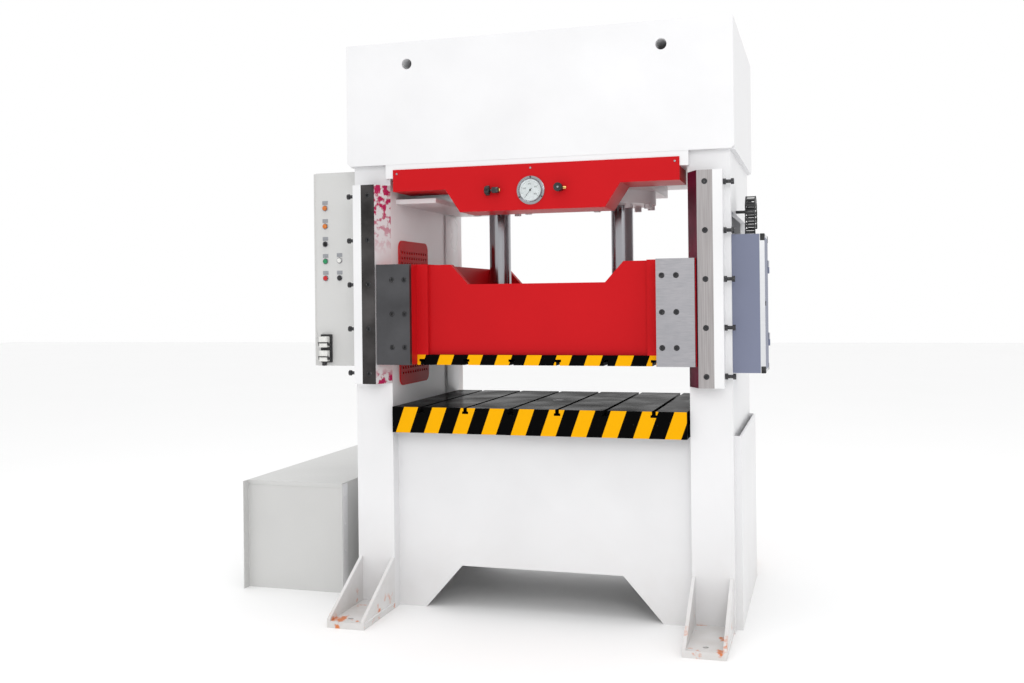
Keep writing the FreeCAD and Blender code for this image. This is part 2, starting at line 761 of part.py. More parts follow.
def build_cylinders():
    piston_bottom = "slide_bottom + piston_lift"
    foot = round_bar("rod_foot_disc", "rod_foot", "z", "cylinder_reach", "0", BRIDGE_TOP, "rod_foot_height")
    rod = round_bar("rod_bar", "rod_size", "z", "cylinder_reach", "0", BRIDGE_TOP,
                    f"{piston_bottom} - ({BRIDGE_TOP})")
    piston = round_bar("piston", "tube_bore - piston_fit", "z", "cylinder_reach", "0", piston_bottom,
                       "piston_height")
    keep("piston_rods", both_sides("rod_pair", group("rod_and_piston", fuse("rod", foot, rod), piston)))
    tube = cut("tube", round_bar("tube_outside", "tube_size", "z", "cylinder_reach", "0", SEAT_BOTTOM,
                                 "tube_height"),
               round_bar("tube_inside", "tube_bore", "z", "cylinder_reach", "0", SEAT_BOTTOM,
                         "tube_height - tube_cap"))
    keep("cylinder_tubes", both_sides("tube_pair", tube))
    bolts, holes = [], []
    for number in range(GLAND_BOLTS):
        angle = 2 * math.pi * (number + 0.5) / GLAND_BOLTS
        x = f"cylinder_reach + gland_bolt_circle / 2 * {math.cos(angle):.6f}"
        y = f"gland_bolt_circle / 2 * {math.sin(angle):.6f}"
        holes.append(round_bar(f"gland_hole{number}", "gland_bolt + screw_gap", "z", x, y, GLAND_BOTTOM,
                               "gland_height"))
        bolts.append(fuse(f"gland_bolt{number}",
                          hexagon(f"gland_hexagon{number}", "gland_hex", "z", x, y,
                                  f"{GLAND_BOTTOM} - gland_hex_height", "gland_hex_height"),
                          round_bar(f"gland_shank{number}", "gland_bolt", "z", x, y, GLAND_BOTTOM,
                                    "gland_height")))
    bore = round_bar("gland_bore", "rod_size + rod_fit", "z", "cylinder_reach", "0", GLAND_BOTTOM,
                     "gland_height")
    gland = cut("gland", round_bar("gland_disc", "gland_size", "z", "cylinder_reach", "0", GLAND_BOTTOM,
                                   "gland_height"), bore, *holes)
    keep("gland_flanges", both_sides("gland_pair", gland))
    keep("gland_bolts", both_sides("gland_bolt_pair", group("gland_bolt_ring", *bolts)))


# Cover over the cylinders, with its gauge and valves

COVER_BACK_FACE = f"{FRONT} - header_nose"
COVER_FRONT = f"{COVER_BACK_FACE} - cover_sheet"


def cover_outline(inset, top):
    """Half-hexagonal front outline, drawn in by the sheet's thickness where asked."""
    half = f"cover_width / 2 - {inset}"
    waist = f"cover_waist / 2 - {inset}"
    foot = f"cover_foot / 2 - {inset}"
    ledge = f"cover_ledge + {inset}"
    bottom = f"cover_bottom + {inset}"
    right = [(half, ledge), (half, top)]
    left = [(f"-({half})", top), (f"-({half})", ledge)]
    return [(f"-({waist})", ledge), (f"-({foot})", bottom), (foot, bottom), (waist, ledge), *right, *left]


def build_cover():
    gauge_bore = "gauge_can + gauge_hole_gap"
    front = plate("cover_front", "y", cover_outline("0", "cover_top"), (COVER_FRONT, COVER_BACK_FACE),
                  holes=[(gauge_bore, ("0", "gauge_height"))])
    depth = (COVER_BACK_FACE, f"{COVER_FRONT} + cover_depth")
    skirt = cut("cover_skirt", plate("cover_skirt_outside", "y", cover_outline("0", HEADER_BOTTOM), depth),
                plate("cover_skirt_inside", "y", cover_outline("cover_sheet", HEADER_BOTTOM), depth))
    keep("cylinder_cover", fuse("cover_folded", front, skirt))


def build_gauge():
    face = COVER_FRONT
    rim_front = f"{face} - gauge_rim"
    well = f"{face} - gauge_rim / 2"
    axis = ("0", "gauge_height")
    case = fuse("gauge_case_solid",
                round_bar("gauge_can_bar", "gauge_can", "y", axis[0], face, axis[1], "gauge_can_depth"),
                round_bar("gauge_flange_disc", "gauge_flange", "y", axis[0], f"{face} - cover_sheet", axis[1],
                          "cover_sheet"),
                round_bar("gauge_bezel_bar", "gauge_bezel", "y", axis[0], rim_front, axis[1], "gauge_rim"))
    window = round_bar("gauge_well", "gauge_window", "y", axis[0], rim_front, axis[1], "gauge_rim / 2")
    keep("gauge_case", cut("gauge_case_hollow", case, window))
    keep("gauge_dial", round_bar("dial", "gauge_window - screw_gap", "y", axis[0], f"{well} - dial_thick",
                                 axis[1], "dial_thick"))
    keep("gauge_glass", round_bar("glass", "gauge_window - screw_gap", "y", axis[0], rim_front, axis[1],
                                  "glass_thick"))
    hand_back = f"{well} - 2 * dial_thick"
    boss = round_bar("needle_boss", "needle_boss", "y", axis[0], f"{hand_back} - 1.5 * needle_thick", axis[1],
                     "2 * needle_thick")
    along = (math.cos(NEEDLE_ANGLE), math.sin(NEEDLE_ANGLE))
    kite = [(1, 0), (0, 0.06), (-0.3, 0.03), (-0.3, -0.03), (0, -0.06)]
    outline = [(f"needle_reach * {far * along[0] - aside * along[1]:.6f}",
                f"gauge_height + needle_reach * {far * along[1] + aside * along[0]:.6f}")
               for far, aside in kite]
    hand = plate("needle_hand", "y", outline, (f"{hand_back} - needle_thick", hand_back))
    keep("gauge_needle", fuse("needle", boss, hand))


def build_valves():
    """Shut-off valve with a star knob on its left end, and a throttle with a round knob in front."""
    height = span("valve_height - valve_block / 2", "valve_block")
    star_y = f"{COVER_FRONT} - shut_off_axis"
    block_left = "-shut_off_place - shut_off_width / 2"
    left = block("shut_off_body", span(block_left, "shut_off_width"),
                 (f"{COVER_FRONT} - shut_off_depth", COVER_FRONT), height)
    left_stem = round_bar("shut_off_stem_bar", "valve_stem", "x", f"{block_left} - shut_off_stem", star_y,
                          "valve_height", "shut_off_stem")
    throttle_left = "throttle_place + throttle_offset - throttle_width / 2"
    throttle_front = f"{COVER_FRONT} - throttle_depth"
    right = block("throttle_body", span(throttle_left, "throttle_width"), (throttle_front, COVER_FRONT),
                  height)
    right_stem = round_bar("throttle_stem_bar", "valve_stem", "y", "throttle_place",
                           f"{throttle_front} - throttle_stem", "valve_height", "throttle_stem")
    keep("valve_bodies", group("valve_pair", fuse("shut_off_valve", left, left_stem),
                               fuse("throttle_valve", right, right_stem)))
    star_left = f"{block_left} - shut_off_stem - knob_gap - star_length"
    lobes = []
    for number in range(STAR_LOBES):
        angle = 2 * math.pi * number / STAR_LOBES
        lobes.append(round_bar(f"star_lobe{number}", "star_lobe", "x", star_left,
                               f"{star_y} + star_reach * {math.cos(angle):.6f}",
                               f"valve_height + star_reach * {math.sin(angle):.6f}", "star_length"))
    hub = round_bar("star_hub_bar", "star_hub", "x", star_left, star_y, "valve_height", "star_length")
    keep("valve_knob_left", fuse("star_knob", hub, *lobes))
    keep("valve_knob_right", round_bar("round_knob_bar", "round_knob", "y", "throttle_place",
                                       f"{COVER_FRONT} - round_knob_proud", "valve_height",
                                       "round_knob_length"))


# Ventilation grille inside the left column

def build_grille():
    face_x = (f"-{INNER}", f"-{INNER} + grille_sheet")
    across = span(f"{FRONT} + grille_front", "grille_width")
    up = span("grille_bottom", "grille_height")
    panel = plate("grille_panel", "x", rectangle(across, up), face_x)
    rounded = doc.addObject("Part::Fillet", "grille_rounded")
    rounded.Base = panel
    doc.recompute()
    radius = SIZES["grille_corner"]
    rounded.Edges = [(index, radius, radius) for index, edge in enumerate(panel.Shape.Edges, start=1)
                     if abs(edge.Vertexes[0].X - edge.Vertexes[-1].X) > SIZES["grille_sheet"] / 2]
    first_y = f"{across[0]} + (grille_width - {VENT_COLUMNS - 1} * vent_pitch_across) / 2"
    first_z = f"{up[0]} + (grille_height - {VENT_ROWS - 1} * vent_pitch_up) / 2"
    slots = []
    for column_number in range(VENT_COLUMNS):
        y = f"{first_y} + {column_number} * vent_pitch_across - vent_slot_width / 2"
        for row_number in range(VENT_ROWS):
            z = f"{first_z} + {row_number} * vent_pitch_up - vent_slot_height / 2"
            slots.append(block(f"vent_{column_number}_{row_number}", face_x, span(y, "vent_slot_width"),
                               span(z, "vent_slot_height")))
    keep("vent_grille", cut("grille_punched", rounded, *slots))


# Control cabinet

CABINET_RIGHT = f"-{OUTER}"
CABINET_LEFT = f"{CABINET_RIGHT} - cabinet_width"
CABINET_FACE = f"{FRONT} + cabinet_front"
CABINET_RIM = f"{CABINET_FACE} + door_fold"
CABINET_HEIGHT = ("cabinet_bottom", "cabinet_bottom + cabinet_height")
CONTROL_LEFT = f"{CABINET_LEFT} + control_column"
CONTROL_RIGHT = f"{CONTROL_LEFT} + control_pitch"
LAMP_HEIGHTS = (1950, 1859)
SWITCH_HEIGHT = 1769
BUTTONS = {
    "green_button": (CONTROL_LEFT, 1683),
    "white_button": (CONTROL_RIGHT, 1686),
    "red_button": (CONTROL_LEFT, 1598),
    "black_button": (CONTROL_RIGHT, 1598),
}


def hollow_box(name, x, y, z, sheet_size, open_side):
    """Folded sheet box with one open side: x, y or z with + or - for which end."""
    inside = {}
    for axis, (low, high) in zip("xyz", (x, y, z)):
        inside[axis] = [f"{low} + {sheet_size}", f"{high} - {sheet_size}"]
    end = 1 if open_side[1] == "+" else 0
    inside[open_side[0]][end] = dict(zip("xyz", (x, y, z)))[open_side[0]][end]
    return cut(name, block(name + "_outside", x, y, z),
               block(name + "_inside", inside["x"], inside["y"], inside["z"]))


def hinges(name, x, y, bottoms, door_leaf, body_leaf):
    """Lift-off hinges on one upright axis: each has a lower knuckle on the door, an upper on the body."""
    door, body = [], []
    for number, bottom in enumerate(bottoms):
        length = "hinge_length / 2 - hinge_gap"
        upper = f"{bottom} + hinge_length / 2"
        for side, start, leaf, pieces in (("door", bottom, door_leaf, door),
                                          ("body", upper, body_leaf, body)):
            mark = f"{name}_{side}{number}"
            pieces.append(round_bar(mark + "_knuckle", "hinge_barrel", "z", x, y, start, length))
            pieces.append(block(mark + "_leaf", *leaf, span(start, length)))
    return door, body


def build_cabinet():
    door_left = f"{CABINET_LEFT} + door_hinge_edge"
    hinge_x = f"{door_left} - hinge_barrel / 2 - hinge_gap"
    hinge_y = f"{CABINET_FACE} + hinge_barrel / 2"
    door_hinges, body_hinges = hinges(
        "cabinet_hinge", hinge_x, hinge_y,
        ("cabinet_bottom + hinge_inset", "cabinet_bottom + cabinet_height - hinge_inset - hinge_length"),
        ((hinge_x, f"{door_left} + cabinet_sheet"), span(hinge_y, "hinge_leaf")),
        (span(f"{hinge_x} - hinge_leaf", "hinge_leaf"), (hinge_y, CABINET_RIM)))
    shell = hollow_box("cabinet_shell", (CABINET_LEFT, CABINET_RIGHT),
                       (CABINET_RIM, f"{CABINET_RIM} + cabinet_depth"), CABINET_HEIGHT, "cabinet_sheet", "y-")
    flange_y = span(CABINET_RIM, "cabinet_sheet")
    flange = cut("cabinet_flange_frame",
                 block("cabinet_flange_plate", (CABINET_LEFT, CABINET_RIGHT), flange_y, CABINET_HEIGHT),
                 block("cabinet_flange_opening",
                       (f"{CABINET_LEFT} + cabinet_flange", f"{CABINET_RIGHT} - cabinet_flange"), flange_y,
                       (f"{CABINET_HEIGHT[0]} + cabinet_flange", f"{CABINET_HEIGHT[1]} - cabinet_flange")))
    keep("cabinet_body", fuse("cabinet_welded", shell, flange, *body_hinges))
    controls = [(CONTROL_LEFT, height) for height in (*LAMP_HEIGHTS, SWITCH_HEIGHT)] + list(BUTTONS.values())
    holes = [round_bar(f"control_hole{number}", "control_bore", "y", x, CABINET_FACE, z, "cabinet_sheet")
             for number, (x, z) in enumerate(controls)]
    pan = hollow_box("cabinet_door_pan", (door_left, f"{CABINET_RIGHT} - door_free_edge"),
                     (CABINET_FACE, CABINET_RIM), CABINET_HEIGHT, "cabinet_sheet", "y+")
    keep("cabinet_door", cut("cabinet_door_drilled", fuse("cabinet_door_hung", pan, *door_hinges), *holes))
    bezels = []
    for number, (x, z) in enumerate(BUTTONS.values()):
        front = f"{CABINET_FACE} - bezel_height"
        bezels.append(cut(f"bezel{number}",
                          round_bar(f"bezel_disc{number}", "bezel_size", "y", x, front, z, "bezel_height"),
                          round_bar(f"bezel_bore{number}", "cap_size + screw_gap", "y", x, front, z,
                                    "bezel_height")))
    keep("button_bezels", group("bezel_set", *bezels))
    lamps = []
    for number, z in enumerate(LAMP_HEIGHTS):
        lens = round_bar(f"lamp_lens{number}", "bezel_size", "y", CONTROL_LEFT,
                         f"{CABINET_FACE} - lamp_proud", z, "lamp_proud")
        lamps.append(fuse(f"lamp{number}", lens,
                          round_bar(f"lamp_shank{number}", "control_shank", "y", CONTROL_LEFT, CABINET_FACE,
                                    z, "control_depth")))
    keep("indicator_lamps", group("lamp_pair", *lamps))
    collar = round_bar("switch_collar_bar", "bezel_size", "y", CONTROL_LEFT,
                       f"{CABINET_FACE} - switch_collar", SWITCH_HEIGHT, "switch_collar - turn_gap")
    shank = round_bar("switch_shank", "control_shank", "y", CONTROL_LEFT, f"{CABINET_FACE} - turn_gap",
                      SWITCH_HEIGHT, "control_depth")
    lever = block("switch_lever", span(f"{CONTROL_LEFT} - lever_width / 2", "lever_width"),
                  (f"{CABINET_FACE} - switch_proud", f"{CABINET_FACE} - switch_collar"),
                  span(f"{SWITCH_HEIGHT} - lever_height / 2", "lever_height"))
    keep("selector_switch", fuse("switch", collar, shank, lever))
    for name, (x, z) in BUTTONS.items():
        cap = round_bar(name + "_cap", "cap_size", "y", x, f"{CABINET_FACE} - cap_proud", z,
                        "cap_proud - bezel_height")
        stem = round_bar(name + "_stem", "control_shank", "y", x, f"{CABINET_FACE} - bezel_height", z,
                         "control_depth")
        keep(name, fuse(name + "_solid", cap, stem))
    keep("connector_module", build_connector())


def build_connector():
    """Double multi-pin connector: two hoods with their locking levers and a cable gland below."""
    middle = f"{CABINET_LEFT} + connector_place"
    left = f"{middle} - connector_width / 2"
    right = f"{middle} + connector_width / 2"
    base_front = f"{CABINET_FACE} - connector_base"
    parts = [block("connector_base_block", (left, right), (base_front, CABINET_FACE),
                   span("connector_bottom", "connector_height"))]
    for number in range(CONNECTOR_HOODS):
        bottom = f"connector_bottom + hood_lift + {number} * hood_pitch"
        parts.append(block(f"connector_hood{number}", (f"{left} + hood_inset", f"{right} - hood_inset"),
                           (f"{base_front} - hood_depth", base_front), span(bottom, "hood_height")))
        for end, x in enumerate((f"{left} + lock_inset", f"{right} - lock_inset - lock_width")):
            parts.append(block(f"connector_lock{number}{end}", span(x, "lock_width"),
                               (f"{base_front} - lock_depth", base_front),
                               span(f"{bottom} + lock_lift", "lock_height")))
    parts.append(round_bar("connector_gland", "cable_gland", "z", middle,
                           f"{CABINET_FACE} - cable_gland_setback", "connector_bottom - cable_gland_drop",
                           "cable_gland_length"))
    return fuse("connector", *parts)


# Terminal box and cable chain on the right column

BOX_FACE = f"{OUTER} + box_reach"
BOX_Y = span(f"{FRONT} + box_front", "box_depth")
BOX_Z = ("box_bottom", "box_bottom + box_height")


def build_terminal_box():
    keep("side_box_body", hollow_box("side_box_shell", (OUTER, BOX_FACE), BOX_Y, BOX_Z, "box_sheet", "x+"))
    rim_x = (BOX_FACE, f"{BOX_FACE} + rim_depth")
    opening_y = (f"{BOX_Y[0]} + rim_width", f"{BOX_Y[1]} - rim_width")
    opening_z = (f"{BOX_Z[0]} + rim_width", f"{BOX_Z[1]} - rim_width")
    hinge_x = f"{rim_x[1]} + hinge_barrel / 2 + hinge_gap"
    leaf_x = span(rim_x[1], "hinge_leaf")
    lid_hinges, rim_hinges = hinges(
        "box_hinge", hinge_x, opening_y[1],
        ("box_bottom + hinge_inset", "box_bottom + box_height - hinge_inset - hinge_length"),
        (leaf_x, span(f"{opening_y[1]} - rim_width", "rim_width")), (leaf_x, (opening_y[1], BOX_Y[1])))
    rim = plate("side_box_frame", "x", rectangle(BOX_Y, BOX_Z), rim_x,
                openings=[rectangle(opening_y, opening_z)])
    keep("side_box_rim", fuse("side_box_rim_hung", rim, *rim_hinges))
    lid_y = (f"{opening_y[0]} + lid_gap", f"{opening_y[1]} - lid_gap")
    lid_z = (f"{opening_z[0]} + lid_gap", f"{opening_z[1]} - lid_gap")
    lid = block("side_box_lid", (f"{rim_x[1]} - lid_thick", rim_x[1]), lid_y, lid_z)
    keep("side_box_door", fuse("side_box_lid_hung", lid, *lid_hinges))


def build_chain():
    """Cable chain from the terminal box up over a bend and down to its bracket on the column."""
    x = span(f"{OUTER} + chain_reach - chain_width / 2", "chain_width")
    rise_y = span(f"{FRONT} + chain_setback", "chain_thick")
    bend_z = f"{BOX_Z[1]} + chain_rise"
    centre_y = f"{rise_y[0]} + chain_thick / 2 + chain_bend"
    drop_y = span(f"{centre_y} + chain_bend - chain_thick / 2", "chain_thick")
    rise = block("chain_rise_run", x, rise_y, (BOX_Z[1], bend_z))
    drop = block("chain_drop_run", x, drop_y, (f"{bend_z} - chain_drop", bend_z))
    outer = round_bar("chain_bend_outside", "2 * chain_bend + chain_thick", "x", x[0], centre_y, bend_z,
                      "chain_width")
    inner = round_bar("chain_bend_inside", "2 * chain_bend - chain_thick", "x", x[0], centre_y, bend_z,
                      "chain_width")
    below = block("chain_bend_below", x, (f"{centre_y} - chain_bend - chain_thick",
                                          f"{centre_y} + chain_bend + chain_thick"),
                  (f"{bend_z} - chain_bend - chain_thick", bend_z))
    bend = cut("chain_bend", outer, inner, below)
    bracket = block("chain_bracket", (OUTER, x[0]), drop_y,
                    ("port_top + chain_bracket / 2", "port_top + 3 * chain_bracket / 2"))
    keep("cable_chain", group("chain_and_bracket", fuse("chain", rise, drop, bend), bracket))


# Power unit

def build_power_unit():
    right = "-unit_offset"
    left = f"{right} - unit_width"
    y = span(f"{FRONT} + unit_front", "unit_depth")
    shell = hollow_box("unit_shell", (left, right), y, ("0", "unit_height"), "unit_sheet", "z-")
    lip = block("unit_side_lip", span(left, "unit_sheet"), (f"{y[0]} - unit_lip", y[0]), ("0", "unit_height"))
    keep("power_unit_housing", fuse("unit_cover", shell, lip))
    inside_x = (f"{left} + unit_sheet", f"{right} - unit_sheet")
    inside_y = (f"{y[0]} + unit_sheet", f"{y[1]} - unit_sheet")
    keep("power_unit_base", block("unit_base_plate", inside_x, inside_y, ("0", "unit_base")))
    middle = f"{right} - unit_width / 2"
    tank_y = (f"{inside_y[1]} - 40 - tank_depth", f"{inside_y[1]} - 40")
    tank_x = (f"{inside_x[0]} + 40", f"{inside_x[1]} - 40")
    tank_z = span("unit_base", "tank_height")
    keep("oil_tank", cut("tank", block("tank_outside", tank_x, tank_y, tank_z),
                         block("tank_inside", (f"{tank_x[0]} + tank_wall", f"{tank_x[1]} - tank_wall"),
                               (f"{tank_y[0]} + tank_wall", f"{tank_y[1]} - tank_wall"),
                               (f"{tank_z[0]} + tank_wall", f"{tank_z[1]} - tank_wall"))))
    motor_y = f"{inside_y[0]} + 60"
    axis_z = "unit_base + motor_axis"
    body = round_bar("motor_body", "motor_size", "y", middle, motor_y, axis_z, "motor_length")
    foot = block("motor_foot", (f"{middle} - motor_size / 2", f"{middle} + motor_size / 2"),
                 span(f"{motor_y} + motor_length / 4", "motor_length / 2"), ("unit_base", axis_z))
    keep("pump_motor", fuse("motor", body, foot))
    pump_y = f"{motor_y} + motor_length"
    keep("hydraulic_pump", round_bar("pump", "pump_size", "y", middle, pump_y, axis_z, "pump_length"))
    manifold_y = (f"{pump_y} + pump_length", f"{pump_y} + pump_length + manifold_side / 2")
    manifold_x = span(f"{middle} - manifold_side / 2", "manifold_side")
    keep("valve_manifold", block("manifold", manifold_x, manifold_y, span("unit_base", "2 * manifold_side")))
    pipes = [round_bar(f"pipe{number}", "pipe_size", "x", right, f"{FRONT} + pipe_setback",
                       f"pipe_height + {number} * pipe_pitch", f"unit_offset - ({OUTER} + skirt_reach)")
             for number in range(2)]
    keep("hydraulic_pipes", group("pipe_pair", *pipes))


build_crown()
build_header()
build_columns()
build_bed()
build_feet()
build_table()
build_guides()
build_slide()
build_shoes()
build_cylinders()
build_cover()
build_gauge()
build_valves()
build_grille()
build_cabinet()
build_terminal_box()
build_chain()
build_power_unit()
doc.recompute()

for thing in doc.Objects:
    if "Invalid" in thing.State or "Error" in thing.State:
        raise RuntimeError(f"{thing.Name} is {thing.State}")
os.makedirs("parts", exist_ok=True)
for name, piece in nodes.items():
    if piece.Shape.isNull() or not piece.Shape.isValid():
        raise RuntimeError(f"{name} has no valid shape")
    piece.Shape.exportStep(f"parts/{name}.step")
    print(f"{name}: {len(piece.Shape.Solids)} solids, {piece.Shape.Volume / 1e6:.3f} litres")
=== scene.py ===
"""Finish and fittings of an upright hydraulic press, built around its packed construction model.

Lengths are metres, X runs left to right, Y front to back and Z upwards.
"""

import json
import math

import bpy
from mathutils import Matrix, Vector


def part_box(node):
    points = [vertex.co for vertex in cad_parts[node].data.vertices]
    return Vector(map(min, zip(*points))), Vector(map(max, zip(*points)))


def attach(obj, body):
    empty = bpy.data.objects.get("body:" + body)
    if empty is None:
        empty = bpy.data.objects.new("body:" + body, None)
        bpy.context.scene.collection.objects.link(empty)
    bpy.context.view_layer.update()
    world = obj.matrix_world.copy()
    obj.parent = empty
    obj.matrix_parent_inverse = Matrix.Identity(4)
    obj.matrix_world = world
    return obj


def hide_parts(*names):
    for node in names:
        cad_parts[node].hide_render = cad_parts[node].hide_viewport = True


bl_info = {
    "name": "Hydraulic press finish",
    "version": (1, 0, 0),
    "blender": (4, 5, 0),
    "location": "View3D > Sidebar > Press",
    "description": "Paints and fits out a two-column hydraulic press",
    "category": "Object",
}

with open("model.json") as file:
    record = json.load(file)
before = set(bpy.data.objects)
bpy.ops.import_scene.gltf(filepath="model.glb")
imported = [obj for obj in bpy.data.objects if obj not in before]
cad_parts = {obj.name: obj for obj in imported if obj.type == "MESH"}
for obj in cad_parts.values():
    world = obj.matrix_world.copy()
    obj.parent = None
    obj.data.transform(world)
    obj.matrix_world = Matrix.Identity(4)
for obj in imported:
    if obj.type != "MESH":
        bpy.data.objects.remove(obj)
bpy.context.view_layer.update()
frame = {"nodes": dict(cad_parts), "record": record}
MM = 0.001


class PressColours(bpy.types.PropertyGroup):
    """Paint colours, in linear light."""
    white: bpy.props.FloatVectorProperty(
        name="Frame", description="Enamel on the frame", subtype="COLOR", default=(0.80, 0.80, 0.81))
    red: bpy.props.FloatVectorProperty(
        name="Slide", description="Enamel on the slide, the cover and the grille", subtype="COLOR",
        default=(0.54, 0.010, 0.014))
    grey: bpy.props.FloatVectorProperty(
        name="Sheet metal", description="Coat on the cabinet and the power unit", subtype="COLOR",
        default=(0.62, 0.62, 0.61))
    blue_grey: bpy.props.FloatVectorProperty(
        name="Terminal box", description="Coat on the terminal box", subtype="COLOR",
        default=(0.18, 0.20, 0.29))
    yellow: bpy.props.FloatVectorProperty(
        name="Stripes", description="Light bars of the hazard stripes", subtype="COLOR",
        default=(0.84, 0.40, 0.004))


class PressSizes(bpy.types.PropertyGroup):
    """Sizes of what is added to the construction model."""
    stripe_pitch: bpy.props.FloatProperty(
        name="Stripe pitch", description="One light and one dark bar", unit="LENGTH", default=0.143)
    stripe_lean: bpy.props.FloatProperty(
        name="Stripe lean", description="Sideways run for each unit of height", default=0.36)
    weld_size: bpy.props.FloatProperty(
        name="Weld size", description="Radius of a weld bead", unit="LENGTH", default=0.004)
    label_height: bpy.props.FloatProperty(
        name="Label height", description="Plates above the push-buttons", unit="LENGTH", default=0.019)


# Shader building

def new_material(name):
    material = bpy.data.materials.new(name)
    material.use_nodes = True
    return material, material.node_tree, material.node_tree.nodes["Principled BSDF"]


def add_node(tree, kind, inputs=None, **settings):
    made = tree.nodes.new(kind)
    for key, value in settings.items():
        setattr(made, key, value)
    for key, value in (inputs or {}).items():
        if isinstance(value, bpy.types.NodeSocket):
            tree.links.new(value, made.inputs[key])
        else:
            made.inputs[key].default_value = value
    return made


def object_coordinates(tree, stretch=None):
    source = add_node(tree, "ShaderNodeTexCoord").outputs["Object"]
    if stretch is None:
        return source
    return add_node(tree, "ShaderNodeMapping", {"Vector": source, "Scale": stretch}).outputs["Vector"]


def noise(tree, scale, detail=3.0, stretch=None):
    return add_node(tree, "ShaderNodeTexNoise", {"Vector": object_coordinates(tree, stretch),
                                                 "Scale": scale, "Detail": detail}).outputs["Fac"]


def math_node(tree, operation, first, second=0.0):
    return add_node(tree, "ShaderNodeMath", {0: first, 1: second}, operation=operation).outputs[0]


def remap(tree, value, low, high, to_low=0.0, to_high=1.0):
    return add_node(tree, "ShaderNodeMapRange", {"Value": value, "From Min": low, "From Max": high,
                                                 "To Min": to_low, "To Max": to_high}).outputs["Result"]


# Socket numbers of a Mix node that mixes colours
MIX_SHARE, MIX_FIRST, MIX_SECOND, MIX_RESULT = 0, 6, 7, 2


def mix_colours(tree, share, first, second):
    def colour(value):
        return value if isinstance(value, bpy.types.NodeSocket) else (*value[:3], 1.0)
    inputs = {MIX_SHARE: share, MIX_FIRST: colour(first), MIX_SECOND: colour(second)}
    return add_node(tree, "ShaderNodeMix", inputs, data_type="RGBA").outputs[MIX_RESULT]


def darker(colour, share):
    return tuple(channel * share for channel in colour[:3])


def bump(tree, shader, height, strength, distance):
    made = add_node(tree, "ShaderNodeBump", {"Height": height, "Strength": strength, "Distance": distance})
    tree.links.new(made.outputs["Normal"], shader.inputs["Normal"])


def axis_value(tree, axis):
    split = add_node(tree, "ShaderNodeSeparateXYZ", {"Vector": object_coordinates(tree)})
    return split.outputs[axis]


# Colours of dirt and wear, a brown tone that darkens paint towards the bottom, and the stretch of marks that
# run one way

LOW_BROWN_TONE = (0.36, 0.31, 0.25)
RUST = (0.62, 0.17, 0.035)
BARE_STEEL = (0.30, 0.29, 0.28)
BLACK_OIL = (0.003, 0.003, 0.003)
WIPED_STEEL = (0.66, 0.64, 0.65)
RED_GREASE = (0.42, 0.02, 0.09)
UPRIGHT_MARKS = (260.0, 260.0, 5.0)
SIDEWAYS_MARKS = (30.0, 260.0, 260.0)
PLANED_MARKS = (5.0, 240.0, 240.0)
TURNED_RINGS = (8.0, 8.0, 900.0)
LOW_DARKENING_HEIGHT = 0.5
RUST_TOP, RUST_FULL = 0.11, 0.04
# Heights between which red grease fades in, at the top and at the bottom of a rail
TOP_GREASE = (1.70, 1.90)
LOW_GREASE = (1.16, 1.12)
EDGE_SKIN = 0.4 * MM


def enamel(name, colour, roughness=0.32, low_darkening=0.0, rust=0.0, sheen=0.4):
    """Brushed-on machine enamel: faint clouding, orange peel, and, if asked, patchy brown darkening towards
    the bottom and bare rusty spots low down.
    """
    material, tree, shader = new_material(name)
    clouds = noise(tree, 2.2, 4.0)
    tone = mix_colours(tree, remap(tree, clouds, 0.3, 0.7), darker(colour, 0.93), colour)
    height = axis_value(tree, "Z")
    # Patchy brown darkening that fades in towards the bottom
    if low_darkening:
        low = math_node(tree, "MULTIPLY", remap(tree, height, 0.0, LOW_DARKENING_HEIGHT, low_darkening, 0.0), noise(tree, 9.0))
        tone = mix_colours(tree, low, tone, LOW_BROWN_TONE)
    if rust:
        patches = remap(tree, noise(tree, 16.0, 6.0), 0.58, 0.64)
        inside = math_node(tree, "MULTIPLY", patches, remap(tree, height, RUST_TOP, RUST_FULL, 0.0, rust))
        tone = mix_colours(tree, inside, tone, RUST)
    tree.links.new(tone, shader.inputs["Base Color"])
    tree.links.new(remap(tree, clouds, 0.25, 0.75, roughness - 0.06, roughness + 0.08),
                   shader.inputs["Roughness"])
    shader.inputs["Specular IOR Level"].default_value = sheen
    bump(tree, shader, noise(tree, 190.0, 2.0), 0.06, 0.0006)
    return material


def powder_coat(name, colour):
    """Fine textured coat on folded sheet metal."""
    material, tree, shader = new_material(name)
    clouds = remap(tree, noise(tree, 1.6, 3.0), 0.3, 0.7)
    speckle = remap(tree, noise(tree, 700.0, 1.0), 0.35, 0.65)
    tone = mix_colours(tree, clouds, darker(colour, 0.9), colour)
    tone = mix_colours(tree, math_node(tree, "MULTIPLY", speckle, 0.12), tone, darker(colour, 0.6))
    tree.links.new(tone, shader.inputs["Base Color"])
    tree.links.new(remap(tree, speckle, 0.0, 1.0, 0.43, 0.57), shader.inputs["Roughness"])
    bump(tree, shader, noise(tree, 420.0, 2.0), 0.18, 0.0004)
    return material


